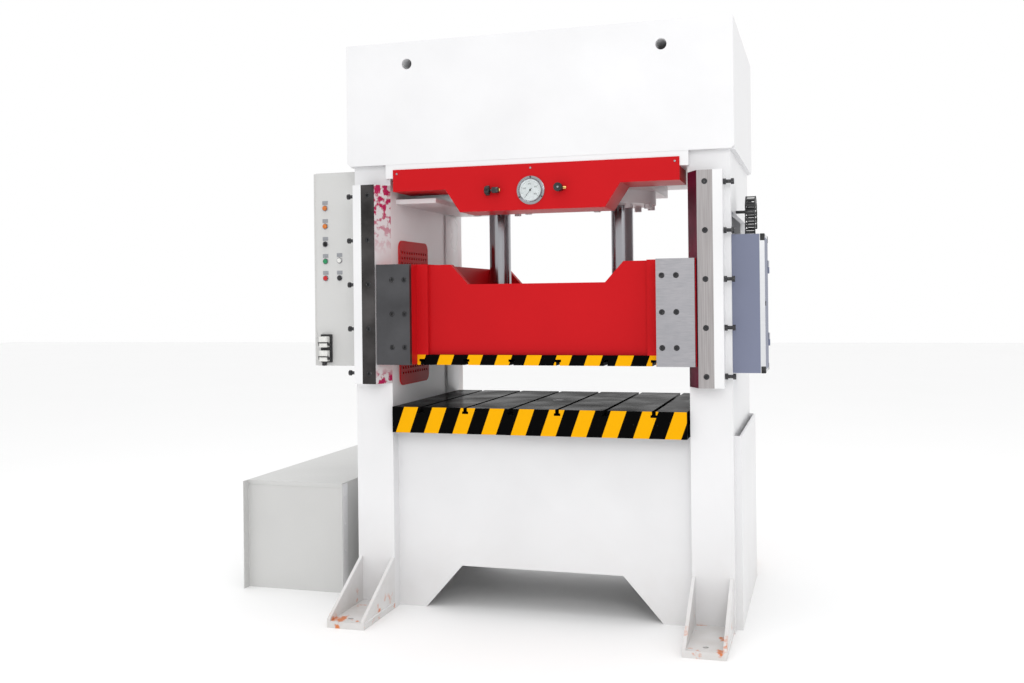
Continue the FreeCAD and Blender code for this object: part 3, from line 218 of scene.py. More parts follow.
def ground_steel(name, light, dark, roughness, lay=UPRIGHT_MARKS, shaded_left=0.0):
    """Ground steel with grinding marks along one direction and clouds of oil, with a painted dark reflection
    on the left if asked.
    """
    material, tree, shader = new_material(name)
    marks = noise(tree, 1.0, 4.0, lay)
    clouds = noise(tree, 7.0, 5.0)
    tone = mix_colours(tree, remap(tree, marks, 0.3, 0.7), dark, light)
    tone = mix_colours(tree, remap(tree, clouds, 0.52, 0.75, 0.0, 0.55), tone, dark)
    # Painted dark reflection: pieces on the left are darkened and mottled to stand in for the dark
    # surroundings they reflect
    if shaded_left:
        left = remap(tree, axis_value(tree, "X"), 0.1, -0.1, 0.0, shaded_left)
        painted_dark_reflection = mix_colours(tree, clouds, darker(dark, 0.08), darker(dark, 0.30))
        tone = mix_colours(tree, left, tone, painted_dark_reflection)
    tree.links.new(tone, shader.inputs["Base Color"])
    shader.inputs["Metallic"].default_value = 0.85
    tree.links.new(remap(tree, marks, 0.2, 0.8, roughness - 0.08, roughness + 0.12),
                   shader.inputs["Roughness"])
    bump(tree, shader, marks, 0.08, 0.0004)
    return material


def rail_steel(name, corner, painted_shade_red):
    """Guide rail: a narrow front with painted dark reflection on the left and painted light on the right, and
    a slant with red grease smears on the left and painted dark red reflection in shade on the right.
    """
    material, tree, shader = new_material(name)
    x, z = axis_value(tree, "X"), axis_value(tree, "Z")
    right = math_node(tree, "GREATER_THAN", x, 0.0)
    slanted = math_node(tree, "LESS_THAN", math_node(tree, "ABSOLUTE", x), corner)
    marks = noise(tree, 1.0, 4.0, UPRIGHT_MARKS)
    clouds = remap(tree, noise(tree, 6.0, 5.0), 0.35, 0.7)
    # Painted dark reflection on the left rail's front; the right rail's front gets a painted lighter tone
    painted_dark_reflection = mix_colours(tree, clouds, (0.020, 0.018, 0.018), (0.075, 0.07, 0.07))
    bright = mix_colours(tree, remap(tree, marks, 0.3, 0.7), (0.30, 0.28, 0.28), (0.40, 0.38, 0.38))
    ends = math_node(tree, "MAXIMUM", remap(tree, z, *TOP_GREASE), remap(tree, z, *LOW_GREASE))
    smears = math_node(tree, "MULTIPLY", remap(tree, noise(tree, 38.0, 7.0), 0.47, 0.56), ends)
    wiped = mix_colours(tree, smears, WIPED_STEEL, RED_GREASE)
    front = mix_colours(tree, right, painted_dark_reflection, bright)
    # Painted dark red reflection in shade on the right rail's slant
    painted_red_reflection = mix_colours(tree, clouds, painted_shade_red, darker(painted_shade_red, 2.5))
    slant = mix_colours(tree, right, wiped, painted_red_reflection)
    tree.links.new(mix_colours(tree, slanted, front, slant), shader.inputs["Base Color"])
    shader.inputs["Metallic"].default_value = 0.1
    shader.inputs["Specular IOR Level"].default_value = 0.12
    tree.links.new(remap(tree, marks, 0.2, 0.8, 0.28, 0.46), shader.inputs["Roughness"])
    bump(tree, shader, marks, 0.08, 0.0004)
    return material


def hard_chrome(name, colour, roughness):
    """Polished metal with faint turning marks."""
    material, tree, shader = new_material(name)
    rings = noise(tree, 1.0, 3.0, TURNED_RINGS)
    tone = mix_colours(tree, rings, darker(colour, 0.88), colour)
    tree.links.new(tone, shader.inputs["Base Color"])
    shader.inputs["Metallic"].default_value = 1.0
    tree.links.new(remap(tree, rings, 0.2, 0.8, roughness - 0.03, roughness + 0.06),
                   shader.inputs["Roughness"])
    return material


def blackened(name, colour=(0.045, 0.045, 0.048), metallic=0.7, roughness=0.38):
    """Black-oxide steel, or dark cast metal, with a little wear."""
    material, tree, shader = new_material(name)
    wear = remap(tree, noise(tree, 90.0, 4.0), 0.55, 0.8, 0.0, 0.5)
    tree.links.new(mix_colours(tree, wear, colour, BARE_STEEL), shader.inputs["Base Color"])
    shader.inputs["Metallic"].default_value = metallic
    tree.links.new(remap(tree, noise(tree, 60.0), 0.3, 0.7, roughness - 0.08, roughness + 0.1),
                   shader.inputs["Roughness"])
    bump(tree, shader, noise(tree, 300.0), 0.1, 0.0003)
    return material


def plastic(name, colour, roughness=0.3, grain=0.05, glow=0.0):
    material, tree, shader = new_material(name)
    clouds = remap(tree, noise(tree, 55.0, 2.0), 0.3, 0.7)
    tree.links.new(mix_colours(tree, clouds, darker(colour, 0.85), colour), shader.inputs["Base Color"])
    tree.links.new(remap(tree, clouds, 0.0, 1.0, roughness - 0.05, roughness + 0.06),
                   shader.inputs["Roughness"])
    if glow:
        shader.inputs["Emission Color"].default_value = (*colour, 1.0)
        shader.inputs["Emission Strength"].default_value = glow
    bump(tree, shader, noise(tree, 900.0, 1.0), grain, 0.0002)
    return material


def clear_glass(name):
    material, tree, shader = new_material(name)
    shader.inputs["Base Color"].default_value = (0.95, 0.98, 0.98, 1.0)
    shader.inputs["Transmission Weight"].default_value = 1.0
    shader.inputs["IOR"].default_value = 1.1
    tree.links.new(remap(tree, noise(tree, 60.0), 0.3, 0.7, 0.0, 0.03), shader.inputs["Roughness"])
    return material


def striped(name, colours, sizes, first_bar, faces, lean_from):
    """Black oiled steel whose front and rear edges carry hazard stripes."""
    material, tree, shader = new_material(name)
    x, y, z = (axis_value(tree, axis) for axis in "XYZ")
    drift = math_node(tree, "MULTIPLY", math_node(tree, "SUBTRACT", z, lean_from), sizes.stripe_lean)
    along = math_node(tree, "SUBTRACT", math_node(tree, "SUBTRACT", x, drift), first_bar)
    turn = math_node(tree, "FRACT", math_node(tree, "DIVIDE", along, sizes.stripe_pitch))
    bar = math_node(tree, "LESS_THAN", turn, 0.5)
    edge = math_node(tree, "ADD", math_node(tree, "LESS_THAN", y, faces[0] + EDGE_SKIN),
                     math_node(tree, "GREATER_THAN", y, faces[1] - EDGE_SKIN))
    paint = mix_colours(tree, bar, BLACK_OIL, colours.yellow)
    chips = remap(tree, noise(tree, 75.0, 8.0), 0.71, 0.74, 0.0, 0.9)
    paint = mix_colours(tree, chips, paint, (0.03, 0.03, 0.03))
    clouds = noise(tree, 5.0, 6.0)
    oiled = mix_colours(tree, remap(tree, clouds, 0.35, 0.75), BLACK_OIL, (0.014, 0.014, 0.015))
    tree.links.new(mix_colours(tree, edge, oiled, paint), shader.inputs["Base Color"])
    smooth = remap(tree, clouds, 0.3, 0.7, 0.16, 0.34)
    tree.links.new(math_node(tree, "ADD", smooth, math_node(tree, "MULTIPLY", edge, 0.18)),
                   shader.inputs["Roughness"])
    shader.inputs["Specular IOR Level"].default_value = 0.004
    bump(tree, shader, noise(tree, 1.0, 4.0, PLANED_MARKS), 0.05, 0.0004)
    return material


FINISHES = {}
# Where a hazard stripe's first light bar starts, and where a rail's front meets its slant
TABLE_FIRST_BAR = -0.640
PLATEN_FIRST_BAR = -0.465
RAIL_CORNER = 0.7605


def make_finishes(scene):
    colours, sizes = scene.press_colours, scene.press_sizes
    table_low, table_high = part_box("table_plate")
    platen_low, platen_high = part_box("slide_platen")
    FINISHES.update({
        # The frame and the feet are made patchily browner and darker towards the bottom; the feet also carry
        # rust low down
        "white_paint": enamel("white_enamel", colours.white, low_darkening=0.25),
        "foot_paint": enamel("foot_enamel", colours.white, low_darkening=0.6, rust=0.95),
        "red_paint": enamel("red_enamel", colours.red, roughness=0.36, sheen=0.06),
        "grey_paint": powder_coat("grey_coat", colours.grey),
        "blue_grey_paint": powder_coat("blue_grey_coat", colours.blue_grey),
        "ground_steel": ground_steel("ground_plate", (0.52, 0.51, 0.53), (0.27, 0.27, 0.29), 0.36),
        # The wear plates carry a painted dark reflection on the left
        "wear_steel": ground_steel("wear_plate_steel", (0.40, 0.39, 0.41), (0.33, 0.33, 0.35), 0.42,
                                   SIDEWAYS_MARKS, shaded_left=0.95),
        # The dark red is the painted reflection in shade on the right rail's slant
        "rail_steel": rail_steel("rail_grease_and_painted_reflection", RAIL_CORNER, (0.06, 0.004, 0.014)),
        "black_screw": blackened("black_oxide"),
        "cast": blackened("dark_casting", (0.12, 0.13, 0.14), 0.2, 0.5),
        "table_steel": striped("striped_table", colours, sizes, TABLE_FIRST_BAR,
                               (table_low.y, table_high.y), table_high.z),
        "platen_steel": striped("striped_platen", colours, sizes, PLATEN_FIRST_BAR,
                                (platen_low.y, platen_high.y), platen_high.z),
        "chromed": hard_chrome("hard_chrome", (0.36, 0.36, 0.38), 0.14),
        "black_plastic": plastic("black_plastic", (0.012, 0.012, 0.013), 0.4, 0.1),
        "profile": hard_chrome("anodised_profile", (0.72, 0.73, 0.75), 0.32),
        "orange_lens": plastic("orange_lens", (0.62, 0.17, 0.02), 0.15, 0.0, glow=0.05),
        "green_cap": plastic("green_cap", (0.01, 0.25, 0.09), 0.25),
        "red_cap": plastic("red_cap", (0.55, 0.012, 0.015), 0.25),
        "white_cap": plastic("white_cap", (0.80, 0.80, 0.77), 0.25),
        "dial_face": plastic("dial_white", (0.86, 0.86, 0.87), 0.5, 0.0),
        "dial_print": plastic("dial_black", (0.01, 0.01, 0.01), 0.5, 0.0),
        "label_plate": powder_coat("label_grey", (0.30, 0.31, 0.33)),
        "brass": hard_chrome("brass_fitting", (0.72, 0.46, 0.16), 0.22),
        "glass": clear_glass("gauge_glass_clear"),
    })


NODE_FINISHES = {"foot_brackets": "foot_paint", "wear_plates": "wear_steel", "guide_rails": "rail_steel",
                 "slide_platen": "platen_steel"}


# Mesh building

ROUNDED_ABOVE = math.radians(40)
SMOOTH_BELOW = math.radians(35)
# Turns that lay an upright cylinder along X, Y or Z
AXIS_TURNS = ((0, math.pi / 2, 0), (math.pi / 2, 0, 0), (0, 0, 0))


def only(piece):
    """Make a piece the one that is selected and active."""
    bpy.ops.object.select_all(action="DESELECT")
    piece.select_set(True)
    bpy.context.view_layer.objects.active = piece


def placed(name):
    """Name the primitive just added and move its place and size into its mesh."""
    piece = bpy.context.active_object
    piece.name = name
    piece.data.name = name
    only(piece)
    bpy.ops.object.transform_apply(location=True, rotation=True, scale=True)
    return piece


def add_bar(name, centre, size, turn=(0, 0, 0)):
    """Box of a given size around its centre, turned if asked."""
    bpy.ops.object.select_all(action="DESELECT")
    bpy.ops.mesh.primitive_cube_add(size=1, location=centre, rotation=turn, scale=size)
    return placed(name)


def add_block(name, low, high):
    """Box between two opposite corners."""
    low, high = Vector(low), Vector(high)
    return add_bar(name, (low + high) / 2, high - low)


def add_disc(name, radius, start, end, sides=48):
    """Cylinder between two points on a line along X, Y or Z."""
    bpy.ops.object.select_all(action="DESELECT")
    start, end = Vector(start), Vector(end)
    run = [abs(part) for part in end - start]
    bpy.ops.mesh.primitive_cylinder_add(vertices=sides, radius=radius, depth=(end - start).length,
                                        location=(start + end) / 2,
                                        rotation=AXIS_TURNS[run.index(max(run))])
    return placed(name)


def add_ring(name, major, minor, centre):
    """Ring that faces the front."""
    bpy.ops.object.select_all(action="DESELECT")
    bpy.ops.mesh.primitive_torus_add(major_radius=major, minor_radius=minor, major_segments=64,
                                     minor_segments=12, location=centre, rotation=AXIS_TURNS[1])
    return placed(name)


def add_dome(name, radius, base, squeeze):
    """Half ball that bulges towards the front from a base point."""
    bpy.ops.object.select_all(action="DESELECT")
    bpy.ops.mesh.primitive_uv_sphere_add(segments=32, ring_count=16, radius=radius, location=base,
                                         scale=(1, squeeze, 1))
    piece = placed(name)
    bpy.ops.object.mode_set(mode="EDIT")
    bpy.ops.mesh.select_all(action="SELECT")
    bpy.ops.mesh.bisect(plane_co=base, plane_no=(0, 1, 0), use_fill=True, clear_outer=True)
    bpy.ops.object.mode_set(mode="OBJECT")
    return piece


def sink_front(piece, border, depth):
    """Inset the front face and push it back, which leaves a rim."""
    only(piece)
    bpy.ops.object.mode_set(mode="EDIT")
    bpy.ops.mesh.select_mode(type="FACE")
    bpy.ops.mesh.select_all(action="DESELECT")
    bpy.ops.object.mode_set(mode="OBJECT")
    for face in piece.data.polygons:
        face.select = face.normal.y < -0.9
    bpy.ops.object.mode_set(mode="EDIT")
    bpy.ops.mesh.inset(thickness=border)
    bpy.ops.transform.translate(value=(0, depth, 0))
    bpy.ops.object.mode_set(mode="OBJECT")
    return piece


def soften(piece, width, segments=2):
    """Round the sharp edges and shade the rest smooth."""
    only(piece)
    rounding = piece.modifiers.new("rounding", "BEVEL")
    rounding.width = width
    rounding.segments = segments
    rounding.limit_method = "ANGLE"
    rounding.angle_limit = ROUNDED_ABOVE
    bpy.ops.object.modifier_apply(modifier=rounding.name)
    bpy.ops.object.shade_smooth_by_angle(angle=SMOOTH_BELOW)
    return piece


def round_block(name, low, high, width, segments=2):
    """Box with rounded edges."""
    return soften(add_block(name, low, high), width, segments)


def round_disc(name, radius, start, end, width, sides=48, segments=2):
    """Cylinder with rounded rims."""
    return soften(add_disc(name, radius, start, end, sides), width, segments)


def joined(name, pieces):
    bpy.ops.object.select_all(action="DESELECT")
    for piece in pieces:
        piece.select_set(True)
    bpy.context.view_layer.objects.active = pieces[0]
    if len(pieces) > 1:
        bpy.ops.object.join()
    whole = bpy.context.active_object
    whole.name = name
    whole.data.name = name
    return whole


def fit(piece, body, finish, replaces=()):
    """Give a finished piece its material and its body."""
    piece.data.materials.clear()
    piece.data.materials.append(FINISHES[finish])
    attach(piece, body)
    if replaces:
        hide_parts(*replaces)
    return piece


def centre_of(node_name):
    low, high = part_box(node_name)
    return (low + high) / 2


# Operators: one for each piece or group of like pieces

class PressOperator(bpy.types.Operator):
    """Shared settings of the operators that fit out the press."""
    bl_options = {"REGISTER", "UNDO"}


class PRESS_OT_paint(PressOperator):
    """Paint every construction piece with its finish"""
    bl_idname = "press.paint"
    bl_label = "Paint the frame"

    def execute(self, context):
        make_finishes(context.scene)
        for entry in frame["record"]["subparts"]:
            name = entry["node"]
            finish = FINISHES[NODE_FINISHES.get(name, entry["material_slot"])]
            piece = frame["nodes"][name]
            if not piece.material_slots:
                piece.data.materials.append(finish)
            for place in piece.material_slots:
                place.material = finish
        return {"FINISHED"}


# Pressure gauge

GAUGE_FLANGE_RADIUS, GAUGE_FLANGE_THICKNESS = 66 * MM, 4 * MM
BEZEL_RADIUS, BEZEL_BORDER, BEZEL_DEPTH = 56 * MM, 6 * MM, 7 * MM
GAUGE_SCREW_ANGLES = tuple(math.radians(turn) for turn in (90, 210, 330))
GAUGE_SCREW_CIRCLE, GAUGE_SCREW_RADIUS, GAUGE_SCREW_HEIGHT = 61 * MM, 4 * MM, 2.5 * MM
SCALE_START = math.radians(232)
SCALE_SWEEP = math.radians(270)
SCALE_STEPS = 40
NUMBER_EVERY = 10
SCALE_RADIUS, MARK_DEPTH = 45 * MM, 0.3 * MM
# Length and width of a mark
LONG_MARK, MEDIUM_MARK, SHORT_MARK = (8 * MM, 1.3 * MM), (6 * MM, 0.9 * MM), (3.5 * MM, 0.5 * MM)
NUMBER_CIRCLE, NUMBER_HEIGHT, NUMBER_DEPTH = 29 * MM, 10 * MM, 0.1 * MM
HUB_RADIUS, HUB_HEIGHT = 4.5 * MM, 2 * MM
NEEDLE_REACH, NEEDLE_WIDTH, NEEDLE_THICKNESS, NEEDLE_LIFT = 38 * MM, 2.6 * MM, 0.6 * MM, 1.2 * MM
# Shares of the needle's reach behind its axis, and of its width left at the tip
NEEDLE_TAIL, NEEDLE_TIP = 0.3, 0.3


class PRESS_OT_gauge(PressOperator):
    """Panel gauge: flange, bezel, screws, printed scale and needle"""
    bl_idname = "press.gauge"
    bl_label = "Gauge"

    def execute(self, context):
        centre = centre_of("gauge_case")
        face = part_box("cylinder_cover")[0].y
        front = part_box("gauge_case")[0].y
        flange_front = face - GAUGE_FLANGE_THICKNESS

        def at(y, angle=0.0, radius=0.0):
            return Vector((centre.x + radius * math.cos(angle), y, centre.z + radius * math.sin(angle)))

        flange = round_disc("gauge_flange", GAUGE_FLANGE_RADIUS, at(flange_front), at(face), 1.2 * MM, 96)
        bezel = add_disc("gauge_bezel", BEZEL_RADIUS, at(front), at(flange_front), 96)
        soften(sink_front(bezel, BEZEL_BORDER, BEZEL_DEPTH), 1 * MM)
        screws = [round_disc("gauge_screw", GAUGE_SCREW_RADIUS,
                             at(flange_front - GAUGE_SCREW_HEIGHT, angle, GAUGE_SCREW_CIRCLE),
                             at(flange_front, angle, GAUGE_SCREW_CIRCLE), 0.8 * MM, 24)
                  for angle in GAUGE_SCREW_ANGLES]
        fit(joined("gauge_housing", [flange, bezel]), "frame", "chromed", replaces=["gauge_case"])
        fit(joined("gauge_screws", screws), "frame", "black_screw")
        dial_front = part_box("gauge_dial")[0].y
        marks, numbers = [], []
        for step in range(SCALE_STEPS + 1):
            angle = SCALE_START - SCALE_SWEEP * step / SCALE_STEPS
            length, width = SHORT_MARK
            if step % NUMBER_EVERY == 0:
                length, width = LONG_MARK
                numbers.append((str(step * 10), at(dial_front - NUMBER_DEPTH, angle, NUMBER_CIRCLE)))
            elif step % (NUMBER_EVERY // 2) == 0:
                length, width = MEDIUM_MARK
            middle = at(dial_front - MARK_DEPTH / 2, angle, SCALE_RADIUS - length / 2)
            marks.append(add_bar("gauge_mark", middle, (length, MARK_DEPTH, width), (0, -angle, 0)))
        marks.extend(self.number(text, place) for text, place in numbers)
        fit(joined("gauge_scale", marks), "frame", "dial_print")
        self.needle(centre)
        return {"FINISHED"}

    def number(self, text, place):
        bpy.ops.object.select_all(action="DESELECT")
        bpy.ops.object.text_add(location=place, rotation=(math.pi / 2, 0, 0))
        lettering = bpy.context.active_object
        lettering.data.body = text
        lettering.data.size = NUMBER_HEIGHT
        lettering.data.align_x = "CENTER"
        lettering.data.align_y = "CENTER"
        lettering.data.extrude = NUMBER_DEPTH
        bpy.ops.object.convert(target="MESH")
        return placed("gauge_number")

    def needle(self, centre):
        """Hub and tapered hand, at the scale's start."""
        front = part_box("gauge_needle")[0].y
        hub = round_disc("needle_hub", HUB_RADIUS, (centre.x, front, centre.z),
                         (centre.x, front + HUB_HEIGHT, centre.z), 0.5 * MM, 32)
        ahead = Vector((math.cos(SCALE_START), 0, math.sin(SCALE_START)))
        axis = Vector((centre.x, front + NEEDLE_LIFT, centre.z))
        hand = add_bar("needle_hand", axis + ahead * NEEDLE_REACH * (1 - NEEDLE_TAIL) / 2,
                       (NEEDLE_REACH * (1 + NEEDLE_TAIL), NEEDLE_THICKNESS, NEEDLE_WIDTH),
                       (0, -SCALE_START, 0))
        tip = axis + ahead * NEEDLE_REACH
        for vertex in hand.data.vertices:
            if (vertex.co - tip).length < NEEDLE_REACH / 2:
                vertex.co = tip + (vertex.co - tip) * NEEDLE_TIP
        fit(joined("gauge_hand", [hub, hand]), "needle", "dial_print",
            replaces=["gauge_needle"])


# Valves beside the gauge. Distances in Y run forwards from the cylinder cover's face.

STAR_LOBES, STAR_CIRCLE, LOBE_RADIUS, LOBE_SETBACK = 5, 16 * MM, 8 * MM, 3 * MM
KNOB_RADIUS, KNOB_BORDER, KNOB_DISH = 20 * MM, 6 * MM, 2 * MM
KNOB_CAP_RADIUS, KNOB_CAP_FRONT, KNOB_CAP_BACK = 5 * MM, 0.4 * MM, 4 * MM
STOP_LEFT, STOP_RIGHT, STOP_FRONT, STOP_BACK, STOP_HALF = -176 * MM, -146 * MM, 42 * MM, 14 * MM, 13 * MM
STEM_RADIUS, STEM_LENGTH = 5 * MM, 12 * MM
FITTING_RADIUS, UNION_RADIUS, UNION_LENGTH = 9 * MM, 7 * MM, 8 * MM
THROTTLE_RADIUS, THROTTLE_DEPTH = 15 * MM, 30 * MM
THROTTLE_UNION_START, THROTTLE_UNION_END = 14 * MM, 30 * MM
HEXAGON = 6


class PRESS_OT_valves(PressOperator):
    """Two small valves with brass fittings, a star knob and a round knob"""
    bl_idname = "press.valves"
    bl_label = "Valves"

    def execute(self, context):
        low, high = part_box("valve_bodies")
        face, z = high.y, (low.z + high.z) / 2
        star_low, star_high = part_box("valve_knob_left")
        star_y = (star_low.y + star_high.y) / 2
        lobes = [round_disc("star_hub", STAR_CIRCLE, (star_low.x, star_y, z), (star_high.x, star_y, z),
                            2 * MM, 40)]
        for number in range(STAR_LOBES):
            angle = 2 * math.pi * number / STAR_LOBES
            lobe_y, lobe_z = star_y + STAR_CIRCLE * math.cos(angle), z + STAR_CIRCLE * math.sin(angle)
            lobes.append(round_disc("star_lobe", LOBE_RADIUS, (star_low.x + LOBE_SETBACK, lobe_y, lobe_z),
                                    (star_high.x - LOBE_SETBACK, lobe_y, lobe_z), 2 * MM, 24))
        fit(joined("star_knob_head", lobes), "star_knob", "black_plastic", replaces=["valve_knob_left"])
        round_low, round_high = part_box("valve_knob_right")
        x = (round_low.x + round_high.x) / 2
        knob = add_disc("round_knob_head", KNOB_RADIUS, (x, round_low.y, z), (x, round_high.y, z), 36)
        soften(sink_front(knob, KNOB_BORDER, KNOB_DISH), 1.6 * MM)
        cap = round_disc("round_knob_cap", KNOB_CAP_RADIUS, (x, round_low.y + KNOB_CAP_FRONT, z),
                         (x, round_low.y + KNOB_CAP_BACK, z), 1 * MM, 24)
        fit(knob, "round_knob", "black_plastic", replaces=["valve_knob_right"])
        fit(cap, "round_knob", "chromed")
        throttle_front = face - THROTTLE_DEPTH
        blocks = [round_block("stop_valve_block", (STOP_LEFT, face - STOP_FRONT, z - STOP_HALF),
                              (STOP_RIGHT, face - STOP_BACK, z + STOP_HALF), 2 * MM),
                  round_disc("stop_valve_stem", STEM_RADIUS, (STOP_LEFT - STEM_LENGTH, star_y, z),
                             (STOP_LEFT, star_y, z), 0.6 * MM, 24),
                  round_disc("throttle_block", THROTTLE_RADIUS, (x, throttle_front, z), (x, face, z),
                             1.5 * MM, HEXAGON),
                  round_disc("throttle_stem", STEM_RADIUS, (x, round_high.y, z), (x, throttle_front, z),
                             0.4 * MM, 24)]
        fit(joined("valve_blocks", blocks), "frame", "black_screw", replaces=["valve_bodies"])
        fitting_x, union_y = (STOP_LEFT + STOP_RIGHT) / 2, face - THROTTLE_DEPTH / 2
        brass = [round_disc("stop_valve_fitting", FITTING_RADIUS, (fitting_x, face - STOP_BACK, z),
                            (fitting_x, face, z), 1 * MM, HEXAGON),
                 round_disc("stop_valve_union", UNION_RADIUS, (STOP_RIGHT, star_y, z),
                            (STOP_RIGHT + UNION_LENGTH, star_y, z), 1 * MM, HEXAGON),
                 round_disc("throttle_union", UNION_RADIUS, (x + THROTTLE_UNION_START, union_y, z),
                            (x + THROTTLE_UNION_END, union_y, z), 1 * MM, HEXAGON)]
        fit(joined("valve_fittings", brass), "frame", "brass")
        return {"FINISHED"}


# Controls on the cabinet door. Distances in Y run forwards from the door's face.

BUTTON_FINISHES = {"green_button": "green_cap", "white_button": "white_cap", "red_button": "red_cap",
                   "black_button": "black_plastic"}
LAMP_RADIUS, LAMP_COLLAR, DOME_BASE, DOME_SQUEEZE = 11.5 * MM, 9 * MM, 8.9 * MM, 0.55
BEZEL_OUTSIDE, BEZEL_MIDDLE, BEZEL_THICKNESS = 15 * MM, 13 * MM, 2 * MM
LABEL_WIDTH, LABEL_THICKNESS, LABEL_RISE = 30 * MM, 1.2 * MM, 18 * MM
CAP_RADIUS, CAP_FRONT, CAP_BACK, CAP_BORDER, CAP_DISH = 11 * MM, 9 * MM, 4 * MM, 2.2 * MM, 0.8 * MM
LEVER_WIDTH, LEVER_HEIGHT, LEVER_FRONT, LEVER_BACK = 7 * MM, 24 * MM, 20 * MM, 8 * MM
SWITCH_GAP = 0.4 * MM


class PRESS_OT_controls(PressOperator):
    """Lamps, selector switch, push-buttons, their bezels and blank label plates"""
    bl_idname = "press.controls"
    bl_label = "Controls"

    def execute(self, context):
        label_height = context.scene.press_sizes.label_height
        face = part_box("cabinet_door")[0].y
        lamp_low, lamp_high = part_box("indicator_lamps")
        lamp_x = (lamp_low.x + lamp_high.x) / 2
        spots, lenses = [], []
        for z in (lamp_low.z + BEZEL_OUTSIDE, lamp_high.z - BEZEL_OUTSIDE):
            spots.append((lamp_x, z))
            lenses.append(round_disc("lamp_collar", LAMP_RADIUS, (lamp_x, face - LAMP_COLLAR, z),
                                     (lamp_x, face, z), 0.8 * MM))
            lenses.append(add_dome("lamp_dome", LAMP_RADIUS, (lamp_x, face - DOME_BASE, z), DOME_SQUEEZE))
        fit(joined("lamp_lenses", lenses), "door_panel", "orange_lens", replaces=["indicator_lamps"])
        switch = centre_of("selector_switch")
        spots.append((switch.x, switch.z))
        self.switch(face, switch.x, switch.z)
        for name in BUTTON_FINISHES:
            centre = centre_of(name)
            spots.append((centre.x, centre.z))
            self.button(name, face, centre.x, centre.z)
        rings = [add_ring("bezel_ring", BEZEL_MIDDLE, BEZEL_THICKNESS, (x, face - BEZEL_THICKNESS, z))
                 for x, z in spots]
        for ring in rings:
            only(ring)
            bpy.ops.object.shade_smooth()
        fit(joined("control_bezels", rings), "door_panel", "chromed", replaces=["button_bezels"])
        plates = [round_block("label", (x - LABEL_WIDTH / 2, face - LABEL_THICKNESS, z + LABEL_RISE),
                              (x + LABEL_WIDTH / 2, face, z + LABEL_RISE + label_height), 0.5 * MM)
                  for x, z in spots]
        fit(joined("label_plates", plates), "door_panel", "label_plate")
        return {"FINISHED"}

    def switch(self, face, x, z):
        collar = round_disc("switch_collar", CAP_RADIUS, (x, face - CAP_FRONT, z),
                            (x, face - SWITCH_GAP, z), 1 * MM)
        lever = round_block("switch_lever", (x - LEVER_WIDTH / 2, face - LEVER_FRONT, z - LEVER_HEIGHT / 2),
                            (x + LEVER_WIDTH / 2, face - LEVER_BACK, z + LEVER_HEIGHT / 2), 2 * MM, 3)
        fit(joined("switch_handle", [collar, lever]), "switch", "black_plastic",
            replaces=["selector_switch"])

    def button(self, name, face, x, z):
        cap = add_disc(name + "_cap", CAP_RADIUS, (x, face - CAP_FRONT, z), (x, face + CAP_BACK, z))
        soften(sink_front(cap, CAP_BORDER, CAP_DISH), 0.9 * MM)
        fit(cap, name, BUTTON_FINISHES[name], replaces=[name])


PLUG_BASE_DEPTH, PLUG_BASE_BOTTOM = 14 * MM, 15 * MM
HOOD_BOTTOMS, HOOD_HEIGHT, HOOD_INSET, HOOD_FRONT = (22 * MM, 92 * MM), 54 * MM, 9 * MM, 50 * MM
ARM_INSET, ARM_WIDTH, ARM_FRONT, ARM_BOTTOM, ARM_TOP = 2 * MM, 6 * MM, 44 * MM, 8 * MM, 20 * MM
BAIL_BACK, BAIL_TOP = 40 * MM, 26 * MM
GLAND_RADIUS, GLAND_HEIGHT, GLAND_FORWARD, OCTAGON = 13 * MM, 22 * MM, 32 * MM, 8


class PRESS_OT_connector(PressOperator):
    """Double multi-pin connector with lever locks and a cable gland"""
    bl_idname = "press.connector"
    bl_label = "Connector"

    def execute(self, context):
        low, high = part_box("connector_module")
        face = high.y
        base_front = face - PLUG_BASE_DEPTH
        base = round_block("connector_base", (low.x, base_front, low.z + PLUG_BASE_BOTTOM),
                           (high.x, face, high.z), 2 * MM)
        left, right = low.x + ARM_INSET, high.x - ARM_INSET
        hoods, levers = [], []
        for rise in HOOD_BOTTOMS:
            bottom = low.z + rise
            hood = add_block("connector_hood", (low.x + HOOD_INSET, face - HOOD_FRONT, bottom),
                             (high.x - HOOD_INSET, base_front, bottom + HOOD_HEIGHT))
            hoods.append(soften(sink_front(hood, 6 * MM, 3 * MM), 2.5 * MM, 3))
            for x in (left, right - ARM_WIDTH):
                levers.append(round_block("connector_arm", (x, face - ARM_FRONT, bottom + ARM_BOTTOM),
                                          (x + ARM_WIDTH, base_front, bottom + ARM_TOP), 1.5 * MM))
            levers.append(round_block("connector_bail", (left, face - HOOD_FRONT, bottom + ARM_TOP),
                                      (right, face - BAIL_BACK, bottom + BAIL_TOP), 2 * MM))
        fit(joined("connector_hoods", hoods), "door_panel", "white_cap",
            replaces=["connector_module"])
        x, y = (low.x + high.x) / 2, face - GLAND_FORWARD
        gland = round_disc("connector_nut", GLAND_RADIUS, (x, y, low.z), (x, y, low.z + GLAND_HEIGHT),
                           1.5 * MM, OCTAGON)
        fit(joined("connector_levers", [base, gland, *levers]), "door_panel", "black_plastic")
        return {"FINISHED"}


# Terminal box and its cable chain

RIM_DEPTH = 21 * MM
CORNER_WIDTH, CORNER_REACH, CORNER_START, CORNER_PROUD = 14 * MM, 30 * MM, 2 * MM, 1 * MM
LATCH_RADIUS, LATCH_INSET, LATCH_BACK, LATCH_FRONT = 11 * MM, 39 * MM, 2 * MM, 3 * MM


